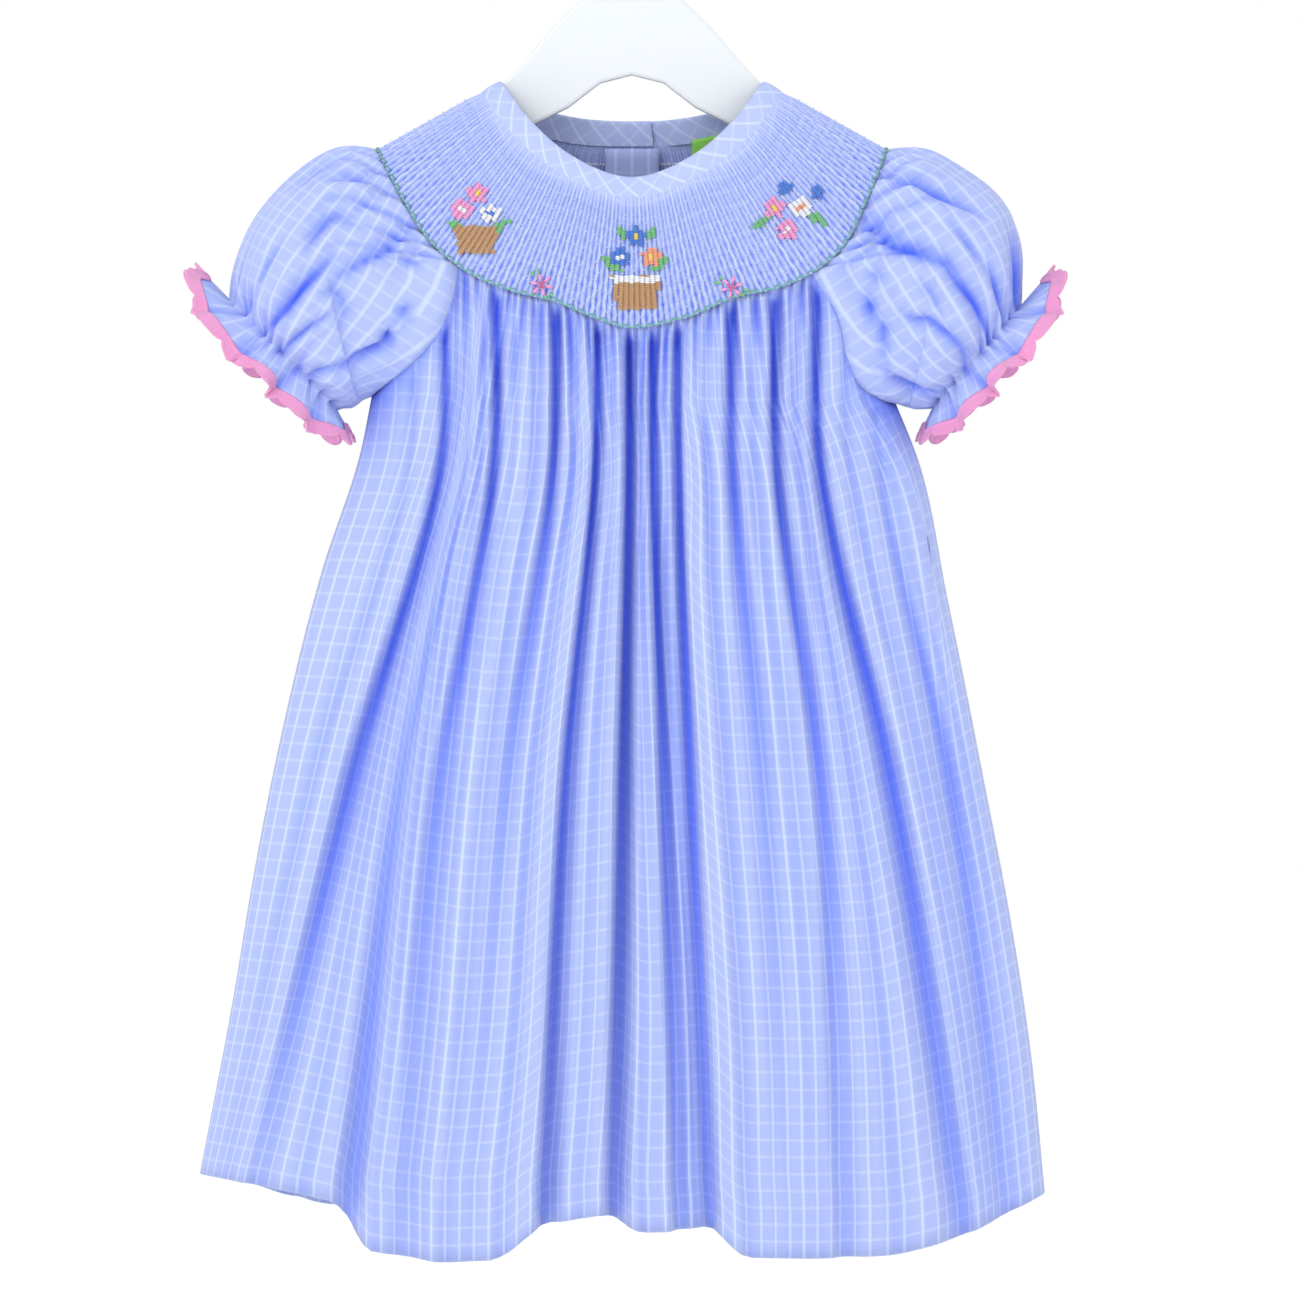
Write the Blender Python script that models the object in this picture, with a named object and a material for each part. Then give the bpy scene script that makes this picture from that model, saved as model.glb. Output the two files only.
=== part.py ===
"""Child's smocked dress on a hanger.

A bishop dress: front, two backs and two raglan sleeves are each pleated up to a bias neckband, and the pleats
are smocked into one round yoke. Below the yoke the cloth opens into a gathered skirt and two puff sleeves.
The dress hangs on a moulded hanger, and the inside top of the hanger's hook is the origin.

Sizes are in millimetres until a mesh is written. A place on the dress is (x, y, drop): x to the viewer's
right, y to the back, drop down from the level of the neck points.
"""

import math
from collections import namedtuple

import bmesh
import bpy
import numpy as np

for old_object in list(bpy.data.objects):
    bpy.data.objects.remove(old_object, do_unlink=True)

# Driving sizes
MM = 0.001
NECK_BELOW_HOOK = 105.0
CLOTH = 1.2
DOUBLE_CLOTH = 1.5
SEAM_GAP = 0.35
BAND_SHARE = 0.955
BAND_LAP = 0.030
BAND_LAP_LIFT = 2.3
BAND_STEPS = 12
PLEATS_AROUND = 132
PLEAT_RELIEF = 1.3
PLEAT_SWAY = 0.22
SMOCKING_ROWS = 5
FOLD_STEPS = (0.10, 0.30, 0.70, 0.90)
SKIRT_ROWS = (0.0, 0.035, 0.08, 0.15, 0.25, 0.37, 0.50, 0.63, 0.76, 0.88, 1.0)
TIGHTEST_TROUGH = 2.2
GATHER_RELIEF = 1.5
GATHER_SLOPE = 0.35
GATHER_FADE = 17.0
SLEEVE_GATHERS = 26
SLEEVE_ROWS = (0.0, 0.07, 0.18, 0.34, 0.52, 0.70, 0.85, 0.94, 1.0)
RUFFLE_WAVES = 12
RUFFLE_LENGTH = 14.0
RUFFLE_WAVE = 2.6
EDGING_DEPTH = 5.5
EDGING_WALL = 1.4
EDGING_GAP = 0.5
EDGING_NOTCH = 0.62
PLACKET_WIDTH = 26.0
PLACKET_TOP = 28.5
PLACKET_END = 196.0
PLACKET_OVER_GAP = 0.6
PLACKET_UNDER_GAP = 0.4
BACK_OPENING_SHARE = 0.00018
BUTTON_RADIUS = 5.5
BUTTON_THICKNESS = 2.4
BUTTON_GAP = 0.5
BAND_BUTTON_GAP = 0.3
BAND_BUTTON_DROP = 21.5
BACK_BUTTON_DROPS = (62.0, 112.0)
HANGER_THICKNESS = 5.5
HOOK_INNER_RADIUS = 16.0
HOOK_ROD = 6.5
LABEL_LEFT = 28.5
LABEL_TOP = 26.0
LABEL_WIDTH = 21.0
LABEL_LENGTH = 17.0
LABEL_OFFSET = -1.8
LABEL_WALL = 0.8

Spot = namedtuple("Spot", "x drop")
Spot3 = namedtuple("Spot3", "x y drop")
Reach = namedtuple("Reach", "y drop")
Fold = namedtuple("Fold", "along top middle hem top_depth middle_depth hem_depth width")
Section = namedtuple("Section", "along top_x top_drop bottom_x bottom_drop half_depth")
Crease = namedtuple("Crease", "around start end depth width")

# Rings of the neck and yoke: each half runs from the shoulder to the centre, for the viewer's left side
NECK_EDGE_FRONT = (Spot(-62.5, -1.5), Spot(-47.5, 19.0), Spot(-30.0, 34.5), Spot(0.0, 45.8))
NECK_EDGE_BACK = (Spot(-62.5, -1.5), Spot(-50.0, 8.0), Spot(-30.0, 13.5), Spot(0.0, 15.7))
NECK_SEAM_FRONT = (Spot(-72.0, 4.5), Spot(-56.0, 26.5), Spot(-35.0, 44.0), Spot(0.0, 56.2))
NECK_SEAM_BACK = (Spot(-72.0, 4.5), Spot(-56.0, 18.0), Spot(-33.0, 25.0), Spot(0.0, 27.0))
STITCH_ROW_LEFT = (Spot(-120.3, 31.9), Spot(-105.8, 59.1), Spot(-96.5, 73.9), Spot(-74.8, 92.0),
                   Spot(-58.1, 99.1), Spot(-34.3, 105.5), Spot(-16.2, 113.0), Spot(0.0, 117.2))
STITCH_ROW_RIGHT = (Spot(-120.3, 31.9), Spot(-111.0, 55.0), Spot(-98.7, 79.0), Spot(-83.9, 91.5),
                    Spot(-67.7, 98.5), Spot(-49.6, 102.5), Spot(-25.0, 112.5), Spot(0.0, 117.2))
STITCH_ROW_BACK = (Spot(-120.3, 31.9), Spot(-105.0, 57.0), Spot(-80.0, 75.0), Spot(-45.0, 84.5),
                   Spot(0.0, 87.0))
RING_DEPTHS = {"edge": (27.0, 20.0), "seam": (30.0, 23.0), "stitch": (40.0, 35.0)}

# The places round the yoke where front, sleeves and backs meet: 0 is the centre back, 0.5 the centre front
RAGLAN_FRONT_LEFT = 0.370
RAGLAN_FRONT_RIGHT = 0.630
RAGLAN_BACK_LEFT = 0.130
RAGLAN_BACK_RIGHT = 0.870

# Raglan seams from the underarm up to the stitch row
UNDERARM_LEFT = Spot3(-124.0, 0.0, 148.0)
UNDERARM_RIGHT = Spot3(125.8, 0.0, 151.6)
RAGLAN_LEFT = (Spot3(-114.0, -19.0, 141.5), Spot3(-104.4, -27.0, 134.5), Spot3(-92.5, -33.0, 121.5),
               Spot3(-85.5, -36.0, 107.0))
RAGLAN_RIGHT = (Spot3(117.0, -18.0, 150.0), Spot3(107.5, -26.0, 144.0), Spot3(101.5, -31.0, 131.0),
                Spot3(97.0, -35.0, 112.0))
RAGLAN_BACK = (Spot3(-114.0, 17.0, 143.0), Spot3(-102.0, 26.0, 130.0), Spot3(-90.0, 31.0, 108.0))

# The skirt: side edges and hem as they hang
SIDE_LEFT = (Spot(-124.0, 148.0), Spot(-129.2, 174.0), Spot(-147.7, 231.0), Spot(-166.3, 305.5),
             Spot(-179.7, 372.7), Spot(-191.0, 440.0), Spot(-205.9, 518.0))
SIDE_RIGHT = (Spot(125.8, 151.6), Spot(134.9, 174.0), Spot(150.6, 245.4), Spot(168.7, 336.0),
              Spot(180.6, 398.0), Spot(190.2, 461.0), Spot(196.8, 527.0))
HEM_FRONT = (Spot(-205.9, 518.0), Spot(-174.9, 522.0), Spot(-138.0, 528.5), Spot(-126.0, 550.5),
             Spot(-89.0, 556.2), Spot(-62.0, 554.5), Spot(-42.4, 538.6), Spot(-12.0, 533.0), Spot(3.0, 542.0),
             Spot(23.0, 541.0), Spot(38.0, 539.5), Spot(52.0, 553.5), Spot(87.0, 554.3), Spot(125.3, 553.0),
             Spot(156.0, 545.5), Spot(176.0, 536.5), Spot(196.8, 527.0))
HEM_BACK = (Spot(-205.9, 518.0), Spot(-150.0, 536.0), Spot(-90.0, 541.0), Spot(0.0, 539.0),
            Spot(90.0, 542.0), Spot(150.0, 538.0), Spot(196.8, 527.0))
LEVEL_TOP = 165.0
LEVEL_MIDDLE = 330.0
LEVEL_HEM = 540.0
FRONT_REACH = (Reach(40.0, 92.0), Reach(42.0, 165.0), Reach(49.0, 330.0), Reach(57.0, 540.0))
BACK_REACH = (Reach(35.0, 76.0), Reach(38.0, 165.0), Reach(45.0, 330.0), Reach(52.0, 540.0))

# Folds: place along the cloth, x at three levels, how far the trough goes in at each level, half width in x
FRONT_FOLDS = (
    Fold(0.105, -89.0, -133.0, -182.0, 10.0, 17.0, 4.0, 7.0),
    Fold(0.185, -77.0, -108.0, -133.0, 2.0, 7.0, 15.0, 6.0),
    Fold(0.255, -64.0, -90.0, -108.0, 11.0, 9.0, 5.0, 6.0),
    Fold(0.335, -36.0, -58.0, -76.0, 11.0, 6.0, 2.0, 6.0),
    Fold(0.415, -17.0, -31.5, -42.0, 12.0, 14.0, 17.0, 5.0),
    Fold(0.490, -1.5, -4.5, -9.0, 17.0, 21.0, 15.0, 5.0),
    Fold(0.550, 9.5, 14.5, 22.0, 14.0, 16.0, 11.0, 4.5),
    Fold(0.605, 22.5, 28.5, 38.0, 11.0, 15.0, 17.0, 5.0),
    Fold(0.693, 47.0, 62.0, 74.0, 10.0, 7.0, 2.0, 7.0),
    Fold(0.767, 67.0, 88.0, 99.5, 12.0, 10.0, 7.0, 6.0),
    Fold(0.872, 88.0, 123.0, 157.0, 12.0, 14.0, 11.0, 7.0),
    Fold(0.952, 116.0, 151.0, 179.0, 3.0, 10.0, 7.0, 6.0),
)
BACK_FOLDS = (
    Fold(0.090, -98.0, -136.0, -168.0, 9.0, 14.0, 9.0, 7.0),
    Fold(0.185, -76.0, -105.0, -129.0, 11.0, 9.0, 5.0, 7.0),
    Fold(0.285, -51.0, -71.0, -88.0, 11.0, 13.0, 15.0, 6.0),
    Fold(0.385, -27.0, -38.0, -47.0, 9.0, 12.0, 8.0, 6.0),
    Fold(0.615, 28.0, 39.0, 46.0, 9.0, 11.0, 14.0, 6.0),
    Fold(0.715, 52.0, 70.0, 86.0, 11.0, 9.0, 5.0, 6.0),
    Fold(0.815, 77.0, 106.0, 127.0, 10.0, 14.0, 12.0, 7.0),
    Fold(0.910, 100.0, 137.0, 164.0, 9.0, 12.0, 7.0, 7.0),
)

# Puff sleeves: sections from the seam to the elastic, with their top and bottom points
SLEEVE_LEFT = (
    Section(0.16, -136.5, 29.8, -127.5, 149.5, 39.0),
    Section(0.38, -159.0, 41.0, -130.5, 151.5, 43.0),
    Section(0.62, -180.0, 63.5, -134.0, 153.5, 42.0),
    Section(0.84, -190.0, 88.0, -138.0, 153.5, 33.0),
    Section(1.00, -191.0, 102.5, -141.5, 153.0, 21.0),
)
SLEEVE_RIGHT = (
    Section(0.16, 136.5, 30.5, 129.5, 152.8, 39.0),
    Section(0.38, 156.0, 38.5, 132.5, 153.6, 43.0),
    Section(0.62, 177.0, 55.5, 136.0, 154.3, 42.0),
    Section(0.84, 186.5, 81.0, 140.5, 153.8, 33.0),
    Section(1.00, 185.5, 104.5, 144.0, 152.2, 21.0),
)
CREASES_LEFT = (
    Crease(0.13, 0.10, 0.95, 5.0, 0.020),
    Crease(0.22, 0.30, 1.00, 4.0, 0.018),
    Crease(0.29, 0.45, 1.00, 6.0, 0.020),
    Crease(0.37, 0.02, 0.60, 4.5, 0.018),
    Crease(0.45, 0.02, 0.45, 3.0, 0.016),
    Crease(0.60, 0.05, 0.60, 4.0, 0.020),
    Crease(0.72, 0.30, 1.00, 5.0, 0.022),
    Crease(0.84, 0.10, 0.90, 4.0, 0.022),
)
CREASES_RIGHT = (
    Crease(0.12, 0.10, 0.95, 5.0, 0.020),
    Crease(0.24, 0.05, 0.60, 6.5, 0.022),
    Crease(0.31, 0.40, 1.00, 5.5, 0.018),
    Crease(0.38, 0.55, 1.00, 5.5, 0.018),
    Crease(0.43, 0.02, 0.55, 4.0, 0.016),
    Crease(0.59, 0.05, 0.60, 4.0, 0.020),
    Crease(0.71, 0.30, 1.00, 5.0, 0.022),
    Crease(0.85, 0.10, 0.90, 4.0, 0.022),
)

# The hanger's plate, right half, from the top of its head round to the middle of its underside
HANGER_TOP = (Spot(0.0, -50.0), Spot(13.0, -47.5), Spot(25.0, -40.0), Spot(36.0, -29.5), Spot(49.0, -14.5),
              Spot(58.0, -4.6), Spot(63.0, 0.5), Spot(72.0, 6.2), Spot(112.0, 29.0))
HANGER_END = (Spot(117.0, 34.0), Spot(118.5, 40.0), Spot(114.5, 45.5))
HANGER_UNDER = (Spot(107.0, 45.0), Spot(72.0, 30.5), Spot(47.0, 19.0), Spot(30.0, 10.5), Spot(15.0, -1.0),
                Spot(0.0, -4.8))


def smooth(knots, values, at):
    """Cubic curve through the values at the knots; works on rows of numbers as well."""
    knots = np.asarray(knots, dtype=float)
    values = np.asarray(values, dtype=float)
    slopes = np.gradient(values, knots, axis=0)
    at = np.clip(at, knots[0], knots[-1])
    low = np.clip(np.searchsorted(knots, at, side="right") - 1, 0, len(knots) - 2)
    span = knots[low + 1] - knots[low]
    f = (at - knots[low]) / span
    return (values[low] * (1 + 2 * f) * (1 - f) ** 2 + values[low + 1] * f * f * (3 - 2 * f)
            + slopes[low] * span * f * (1 - f) ** 2 - slopes[low + 1] * span * f * f * (1 - f))


def ease(value):
    """Smooth step from 0 to 1."""
    value = min(max(value, 0.0), 1.0)
    return value * value * (3 - 2 * value)


def run_lengths(points):
    """Running length along a row of points."""
    steps = np.linalg.norm(np.diff(points, axis=0), axis=1)
    return np.concatenate([[0.0], np.cumsum(steps)])


def even_curve(points, samples=160):
    """The same curve with samples at even lengths."""
    lengths = run_lengths(points)
    wanted = np.linspace(0.0, lengths[-1], samples)
    return np.column_stack([np.interp(wanted, lengths, points[:, k]) for k in range(points.shape[1])])


def half_ring(spots, depth, mirrored):
    """A quarter of a ring from the shoulder fold to the centre, rounded in y like cloth over a hanger."""
    flat = np.array([[spot.x, spot.drop] for spot in spots] + [[-spots[-2].x, spots[-2].drop]])
    knots = run_lengths(flat)
    centre = knots[-2]
    at = np.linspace(0.0, 1.0, 300) ** 2 * centre
    line = np.array([smooth(knots, flat, value) for value in at])
    toward_centre = at / centre
    y = depth * np.sqrt(np.clip(1 - (1 - toward_centre) ** 2.2, 0, 1))
    x = -line[:, 0] if mirrored else line[:, 0]
    return even_curve(np.column_stack([x, y, line[:, 1]]))


def whole_ring(front_left, front_right, back, depths):
    """Four quarters in order: back left, front left, front right, back right."""
    front_depth, back_depth = depths
    return (half_ring(back, back_depth, False)[::-1], half_ring(front_left, -front_depth, False),
            half_ring(front_right, -front_depth, True)[::-1], half_ring(back, back_depth, True))


RINGS = {
    "edge": whole_ring(NECK_EDGE_FRONT, NECK_EDGE_FRONT, NECK_EDGE_BACK, RING_DEPTHS["edge"]),
    "seam": whole_ring(NECK_SEAM_FRONT, NECK_SEAM_FRONT, NECK_SEAM_BACK, RING_DEPTHS["seam"]),
    "stitch": whole_ring(STITCH_ROW_LEFT, STITCH_ROW_RIGHT, STITCH_ROW_BACK, RING_DEPTHS["stitch"]),
}


def on_ring(name, around):
    """Point on a ring; around runs from 0 at the centre back past the left shoulder at 0.25."""
    around = around % 1.0
    quarter = min(int(around * 4), 3)
    curve = RINGS[name][quarter]
    place = (around * 4 - quarter) * (len(curve) - 1)
    low = min(int(place), len(curve) - 2)
    return curve[low] + (curve[low + 1] - curve[low]) * (place - low)


def yoke_point(around, down):
    """The smocked yoke between the neck seam and the stitch row, a little rounded outward."""
    start = on_ring("seam", around)
    end = on_ring("stitch", around)
    point = start + (end - start) * down
    outward = np.array([0.0, math.copysign(1.0, start[1] + end[1]), 0.0])
    rounding = 3.0 * math.sin(math.pi * down) * min(abs(start[1] + end[1]) / 60.0, 1.0)
    return point + outward * rounding


def raglan_curve(underarm, spots, corner, mirrored=False):
    """Raglan seam from the underarm to its corner on the stitch row, at even lengths."""
    side = -1.0 if mirrored else 1.0
    points = np.array([list(underarm)] + [[side * s.x, s.y, s.drop] for s in spots] + [list(corner)])
    knots = run_lengths(points)
    dense = np.array([smooth(knots, points, value) for value in np.linspace(0, knots[-1], 120)])
    return even_curve(dense, 80)


RAGLANS = {
    "front_left": raglan_curve(UNDERARM_LEFT, RAGLAN_LEFT, on_ring("stitch", RAGLAN_FRONT_LEFT)),
    "front_right": raglan_curve(UNDERARM_RIGHT, RAGLAN_RIGHT, on_ring("stitch", RAGLAN_FRONT_RIGHT)),
    "back_left": raglan_curve(UNDERARM_LEFT, RAGLAN_BACK, on_ring("stitch", RAGLAN_BACK_LEFT)),
    "back_right": raglan_curve(UNDERARM_RIGHT, RAGLAN_BACK, on_ring("stitch", RAGLAN_BACK_RIGHT),
                               mirrored=True),
}


def stitch_arc(start, end, samples=160):
    """The stitch row between two places round the yoke."""
    return np.array([on_ring("stitch", a) for a in np.linspace(start, end, samples)])


def along_points(curve, f):
    """Point at a share of a curve that has even samples."""
    place = min(max(f, 0.0), 1.0) * (len(curve) - 1)
    low = min(int(place), len(curve) - 2)
    return curve[low] + (curve[low + 1] - curve[low]) * (place - low)


def side_edges(drop):
    """x of the left and right side seams at a level."""
    return tuple(float(smooth([s.drop for s in side], [s.x for s in side], drop))
                 for side in (SIDE_LEFT, SIDE_RIGHT))


class Panel:
    """A skirt panel: raglan, stitch row, raglan along its top, folds down to the hem."""

    def __init__(self, raglans, arc, corners, folds, hem, reach, facing):
        self.left, self.right = raglans
        self.arc = arc
        self.corners = corners
        self.folds = folds
        self.hem = hem
        self.reach = reach
        self.facing = facing
        self.along = [0.0] + [fold.along for fold in folds] + [1.0]
        self.shares = {}
        for level, name in ((LEVEL_TOP, "top"), (LEVEL_MIDDLE, "middle"), (LEVEL_HEM, "hem")):
            left, right = side_edges(level)
            inner = [(getattr(fold, name) - left) / (right - left) for fold in folds]
            self.shares[name] = [0.0] + inner + [1.0]

    def boundary(self, along):
        """Top edge of the panel."""
        low, high = self.corners
        if along < low:
            return along_points(self.left, along / low)
        if along > high:
            return along_points(self.right, (1 - along) / (1 - high))
        return along_points(self.arc, (along - low) / (high - low))

    def half_depth(self, drop):
        """How far the panel stands out from the side seams at a level."""
        return np.interp(drop, [row.drop for row in self.reach], [row.y for row in self.reach])

    def point(self, along, down):
        """Middle of the cloth at a share along the panel and down it."""
        top = self.boundary(along)
        share_hem = float(smooth(self.along, self.shares["hem"], along))
        left, right = side_edges(LEVEL_HEM)
        hem_x = left + (right - left) * share_hem
        hem_drop = float(np.interp(hem_x, [s.x for s in self.hem], [s.drop for s in self.hem]))
        drop = top[2] + (hem_drop - top[2]) * down
        left, right = side_edges(top[2])
        share_top = (top[0] - left) / (right - left)
        levels = [top[2], max(LEVEL_TOP, top[2] + 14.0), LEVEL_MIDDLE, LEVEL_HEM]
        places = [share_top, smooth(self.along, self.shares["top"], along),
                  smooth(self.along, self.shares["middle"], along), share_hem]
        share = float(smooth(levels, places, drop))
        left, right = side_edges(drop)
        x = left + (right - left) * share
        across = min(max(2 * share - 1, -1.0), 1.0)
        reach = self.half_depth(drop) * (1 - abs(across) ** 2.6) ** (1 / 2.0)
        free = self.facing * reach
        y = top[1] + (free - top[1]) * ease((drop - top[2]) / 55.0)
        room = max(0.8 * abs(y) - CLOTH, 0.01)
        push = self.trough(along, x, drop) * ease((drop - top[2]) / 30.0)
        y -= self.facing * room * math.tanh(push / room)
        gather = min(GATHER_RELIEF, GATHER_SLOPE * self.column_gap(along))
        gather *= math.exp(-(drop - top[2]) / GATHER_FADE)
        inside_corner = min(along - self.corners[0], self.corners[1] - along)
        gather *= ease(inside_corner / 0.03)
        y += self.facing * gather * math.cos(math.pi * self.column_number(along))
        return np.array([x, y, drop])

    def columns(self):
        """Shares along the panel with closer spacing in the troughs."""
        result = [0.0]
        for low, high in zip(self.along[:-1], self.along[1:]):
            result += [low + (high - low) * step for step in FOLD_STEPS] + [high]
        return result

    def column_gap(self, along):
        """Width of cloth between neighbouring columns near the top of the panel."""
        shares = np.array(self.columns())
        left, right = side_edges(LEVEL_TOP)
        return float(np.interp(along, shares, np.gradient(shares))) * (right - left)

    def column_number(self, along):
        """Column count as a number that changes evenly between columns."""
        shares = self.columns()
        return float(np.interp(along, shares, range(len(shares))))

    def trough(self, along, x, drop):
        """How far all folds push the cloth in."""
        total = 0.0
        levels = (LEVEL_TOP, LEVEL_MIDDLE, LEVEL_HEM)
        for fold in self.folds:
            centre = float(smooth((LEVEL_TOP - 60.0,) + levels,
                                  (fold.top, fold.top, fold.middle, fold.hem), drop))
            depth = float(np.interp(drop, levels, (fold.top_depth, fold.middle_depth, fold.hem_depth)))
            width = fold.width * float(np.interp(drop, levels, (0.75, 1.0, 1.25)))
            width = max(width, math.sqrt(TIGHTEST_TROUGH * depth))
            total += depth * math.exp(-((x - centre) / width) ** 2)
        return total


FRONT_PANEL = Panel((RAGLANS["front_left"], RAGLANS["front_right"]),
                    stitch_arc(RAGLAN_FRONT_LEFT, RAGLAN_FRONT_RIGHT),
                    (0.125, 0.890), FRONT_FOLDS, HEM_FRONT, FRONT_REACH, -1.0)
BACK_PANEL = Panel((RAGLANS["back_left"], RAGLANS["back_right"]),
                   np.concatenate([stitch_arc(RAGLAN_BACK_LEFT, 0.0), stitch_arc(1.0, RAGLAN_BACK_RIGHT)[1:]]),
                   (0.130, 0.870), BACK_FOLDS, HEM_BACK, BACK_REACH, 1.0)


class Sleeve:
    """A puff sleeve lofted from its seam through sections to the elastic, then a ruffle and its edging."""

    def __init__(self, front_raglan, back_raglan, shoulder, corners, sections, creases):
        front_half = np.concatenate([front_raglan, stitch_arc(corners[0], shoulder)[1:]])
        back_half = np.concatenate([back_raglan, stitch_arc(corners[1], shoulder)[1:]])
        self.front_half = even_curve(front_half, 200)
        self.back_half = even_curve(back_half, 200)
        self.sections = sections
        self.creases = creases
        last = sections[-1]
        chord = np.array([last.top_x - last.bottom_x, 0.0, last.top_drop - last.bottom_drop])
        self.chord = chord / np.linalg.norm(chord)
        side = math.copysign(1.0, last.top_x)
        self.axis = np.array([-self.chord[2], 0.0, self.chord[0]]) * side

    def seam(self, around):
        """The seam loop: 0 at the underarm, up the front, 0.5 at the shoulder, down the back."""
        if around <= 0.5:
            return along_points(self.front_half, around * 2)
        return along_points(self.back_half, (1 - around) * 2)

    def section_point(self, section, around):
        """Point of an oval section."""
        turn = 2 * math.pi * around
        middle_x = (section.top_x + section.bottom_x) / 2
        middle_drop = (section.top_drop + section.bottom_drop) / 2
        share = -math.cos(turn)
        return np.array([middle_x + (section.top_x - section.bottom_x) / 2 * share,
                         -section.half_depth * math.sin(turn),
                         middle_drop + (section.top_drop - section.bottom_drop) / 2 * share])

    def middle_of(self, section):
        """Middle of an oval section."""
        return (self.section_point(section, 0.25) + self.section_point(section, 0.75)) / 2

    def crease_depth(self, around, along):
        """How far the creases and gathers push the cloth in."""
        total = 0.0
        for crease in self.creases:
            middle = (crease.start + crease.end) / 2
            reach = (crease.end - crease.start) / 2
            fade = ease(1.0 - abs(along - middle) / reach) if reach else 0.0
            total += crease.depth * fade * math.exp(-((around - crease.around) / crease.width) ** 2)
        gather = 1.3 * math.exp(-((along - 1.0) / 0.10) ** 2) * math.cos(2 * math.pi * SLEEVE_GATHERS * around)
        return total + gather

    def point(self, around, along):
        """Middle of the sleeve's cloth."""
        around = around % 1.0
        knots = [0.0] + [section.along for section in self.sections]
        rows = [self.seam(around)] + [self.section_point(section, around) for section in self.sections]
        start = rows[0]
        first = rows[1] - start
        at_underarm = math.exp(-(min(around, 1 - around) / 0.06) ** 2)
        rows[0] = start + first / np.linalg.norm(first) * (SEAM_GAP + CLOTH * (0.62 + 0.5 * at_underarm))
        point = smooth(knots, rows, along)
        middle = smooth(knots, [rows[0]] + [self.middle_of(section) for section in self.sections], along)
        inward = middle - point
        inward = inward / max(np.linalg.norm(inward), 1e-6)
        return point + inward * self.crease_depth(around, along)

    def ruffle_point(self, around, out):
        """Cloth past the elastic; out is the distance from the elastic."""
        turn = 2 * math.pi * around
        base = self.section_point(self.sections[-1], around)
        end_share = math.cos(turn) ** 2
        top_end = max(-math.cos(turn), 0.0) ** 2
        direction = (self.axis * (1.0 - 0.45 * end_share - 0.25 * top_end)
                     + self.chord * -math.cos(turn) * (0.25 + 0.55 * top_end)
                     + np.array([0.0, -0.45 * math.sin(turn), 0.0]))
        direction = direction / np.linalg.norm(direction)
        radial = base - self.middle_of(self.sections[-1])
        radial = radial / np.linalg.norm(radial)
        swell = out / RUFFLE_LENGTH
        wave = RUFFLE_WAVE * swell * math.cos(2 * math.pi * RUFFLE_WAVES * around)
        return base + direction * out + radial * wave


SLEEVES = {
    "left": Sleeve(RAGLANS["front_left"], RAGLANS["back_left"], 0.25, (RAGLAN_FRONT_LEFT, RAGLAN_BACK_LEFT),
                   SLEEVE_LEFT, CREASES_LEFT),
    "right": Sleeve(RAGLANS["front_right"], RAGLANS["back_right"], 0.75,
                    (RAGLAN_FRONT_RIGHT, RAGLAN_BACK_RIGHT), SLEEVE_RIGHT, CREASES_RIGHT),
}


def to_world(point):
    """Metres with the origin inside the top of the hook."""
    return (point[0] * MM, point[1] * MM, -(point[2] + NECK_BELOW_HOOK) * MM)


def material(name, colour, roughness):
    """Plain Principled material."""
    made = bpy.data.materials.new(name)
    made.use_nodes = True
    shader = made.node_tree.nodes["Principled BSDF"]
    shader.inputs["Base Color"].default_value = (*colour, 1.0)
    shader.inputs["Roughness"].default_value = roughness
    shader.inputs["Metallic"].default_value = 0.0
    return made


def finish_object(name, mesh_data, surface):
    """Turn a bmesh into a named object with its own material."""
    bmesh.ops.recalc_face_normals(mesh_data, faces=mesh_data.faces[:])
    mesh = bpy.data.meshes.new(name)
    mesh_data.to_mesh(mesh)
    mesh_data.free()
    made = bpy.data.objects.new(name, mesh)
    bpy.context.scene.collection.objects.link(made)
    mesh.materials.append(material(name + "_surface", *surface))
    mesh.shade_smooth()
    return made


def grid_normals(points, closed):
    """Outward directions at a grid of (x, y, drop) points, as the mean of the faces round each."""
    space = points * np.array([1.0, 1.0, -1.0])
    if closed:
        space = np.concatenate([space, space[:, :1]], axis=1)
    faces = np.cross(space[1:, 1:] - space[:-1, :-1], space[:-1, 1:] - space[1:, :-1])
    faces /= np.maximum(np.linalg.norm(faces, axis=2, keepdims=True), 1e-9)
    faces = np.concatenate([faces[:1], faces, faces[-1:]], axis=0)
    ends = (faces[:, -1:], faces[:, :1]) if closed else (faces[:, :1], faces[:, -1:])
    faces = np.concatenate([ends[0], faces, ends[1]], axis=1)
    normals = faces[:-1, :-1] + faces[:-1, 1:] + faces[1:, :-1] + faces[1:, 1:]
    if closed:
        normals = normals[:, :-1]
    normals /= np.maximum(np.linalg.norm(normals, axis=2, keepdims=True), 1e-9)
    return normals * np.array([1.0, 1.0, -1.0])


def lay_grid(mesh_data, points, closed):
    """Vertices and faces of one side of a wall."""
    rows, columns = points.shape[:2]
    verts = [[mesh_data.verts.new(to_world(points[j, i])) for i in range(columns)] for j in range(rows)]
    last = columns if closed else columns - 1
    for j in range(rows - 1):
        for i in range(last):
            k = (i + 1) % columns
            mesh_data.faces.new((verts[j][i], verts[j][k], verts[j + 1][k], verts[j + 1][i]))
    return verts


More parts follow.
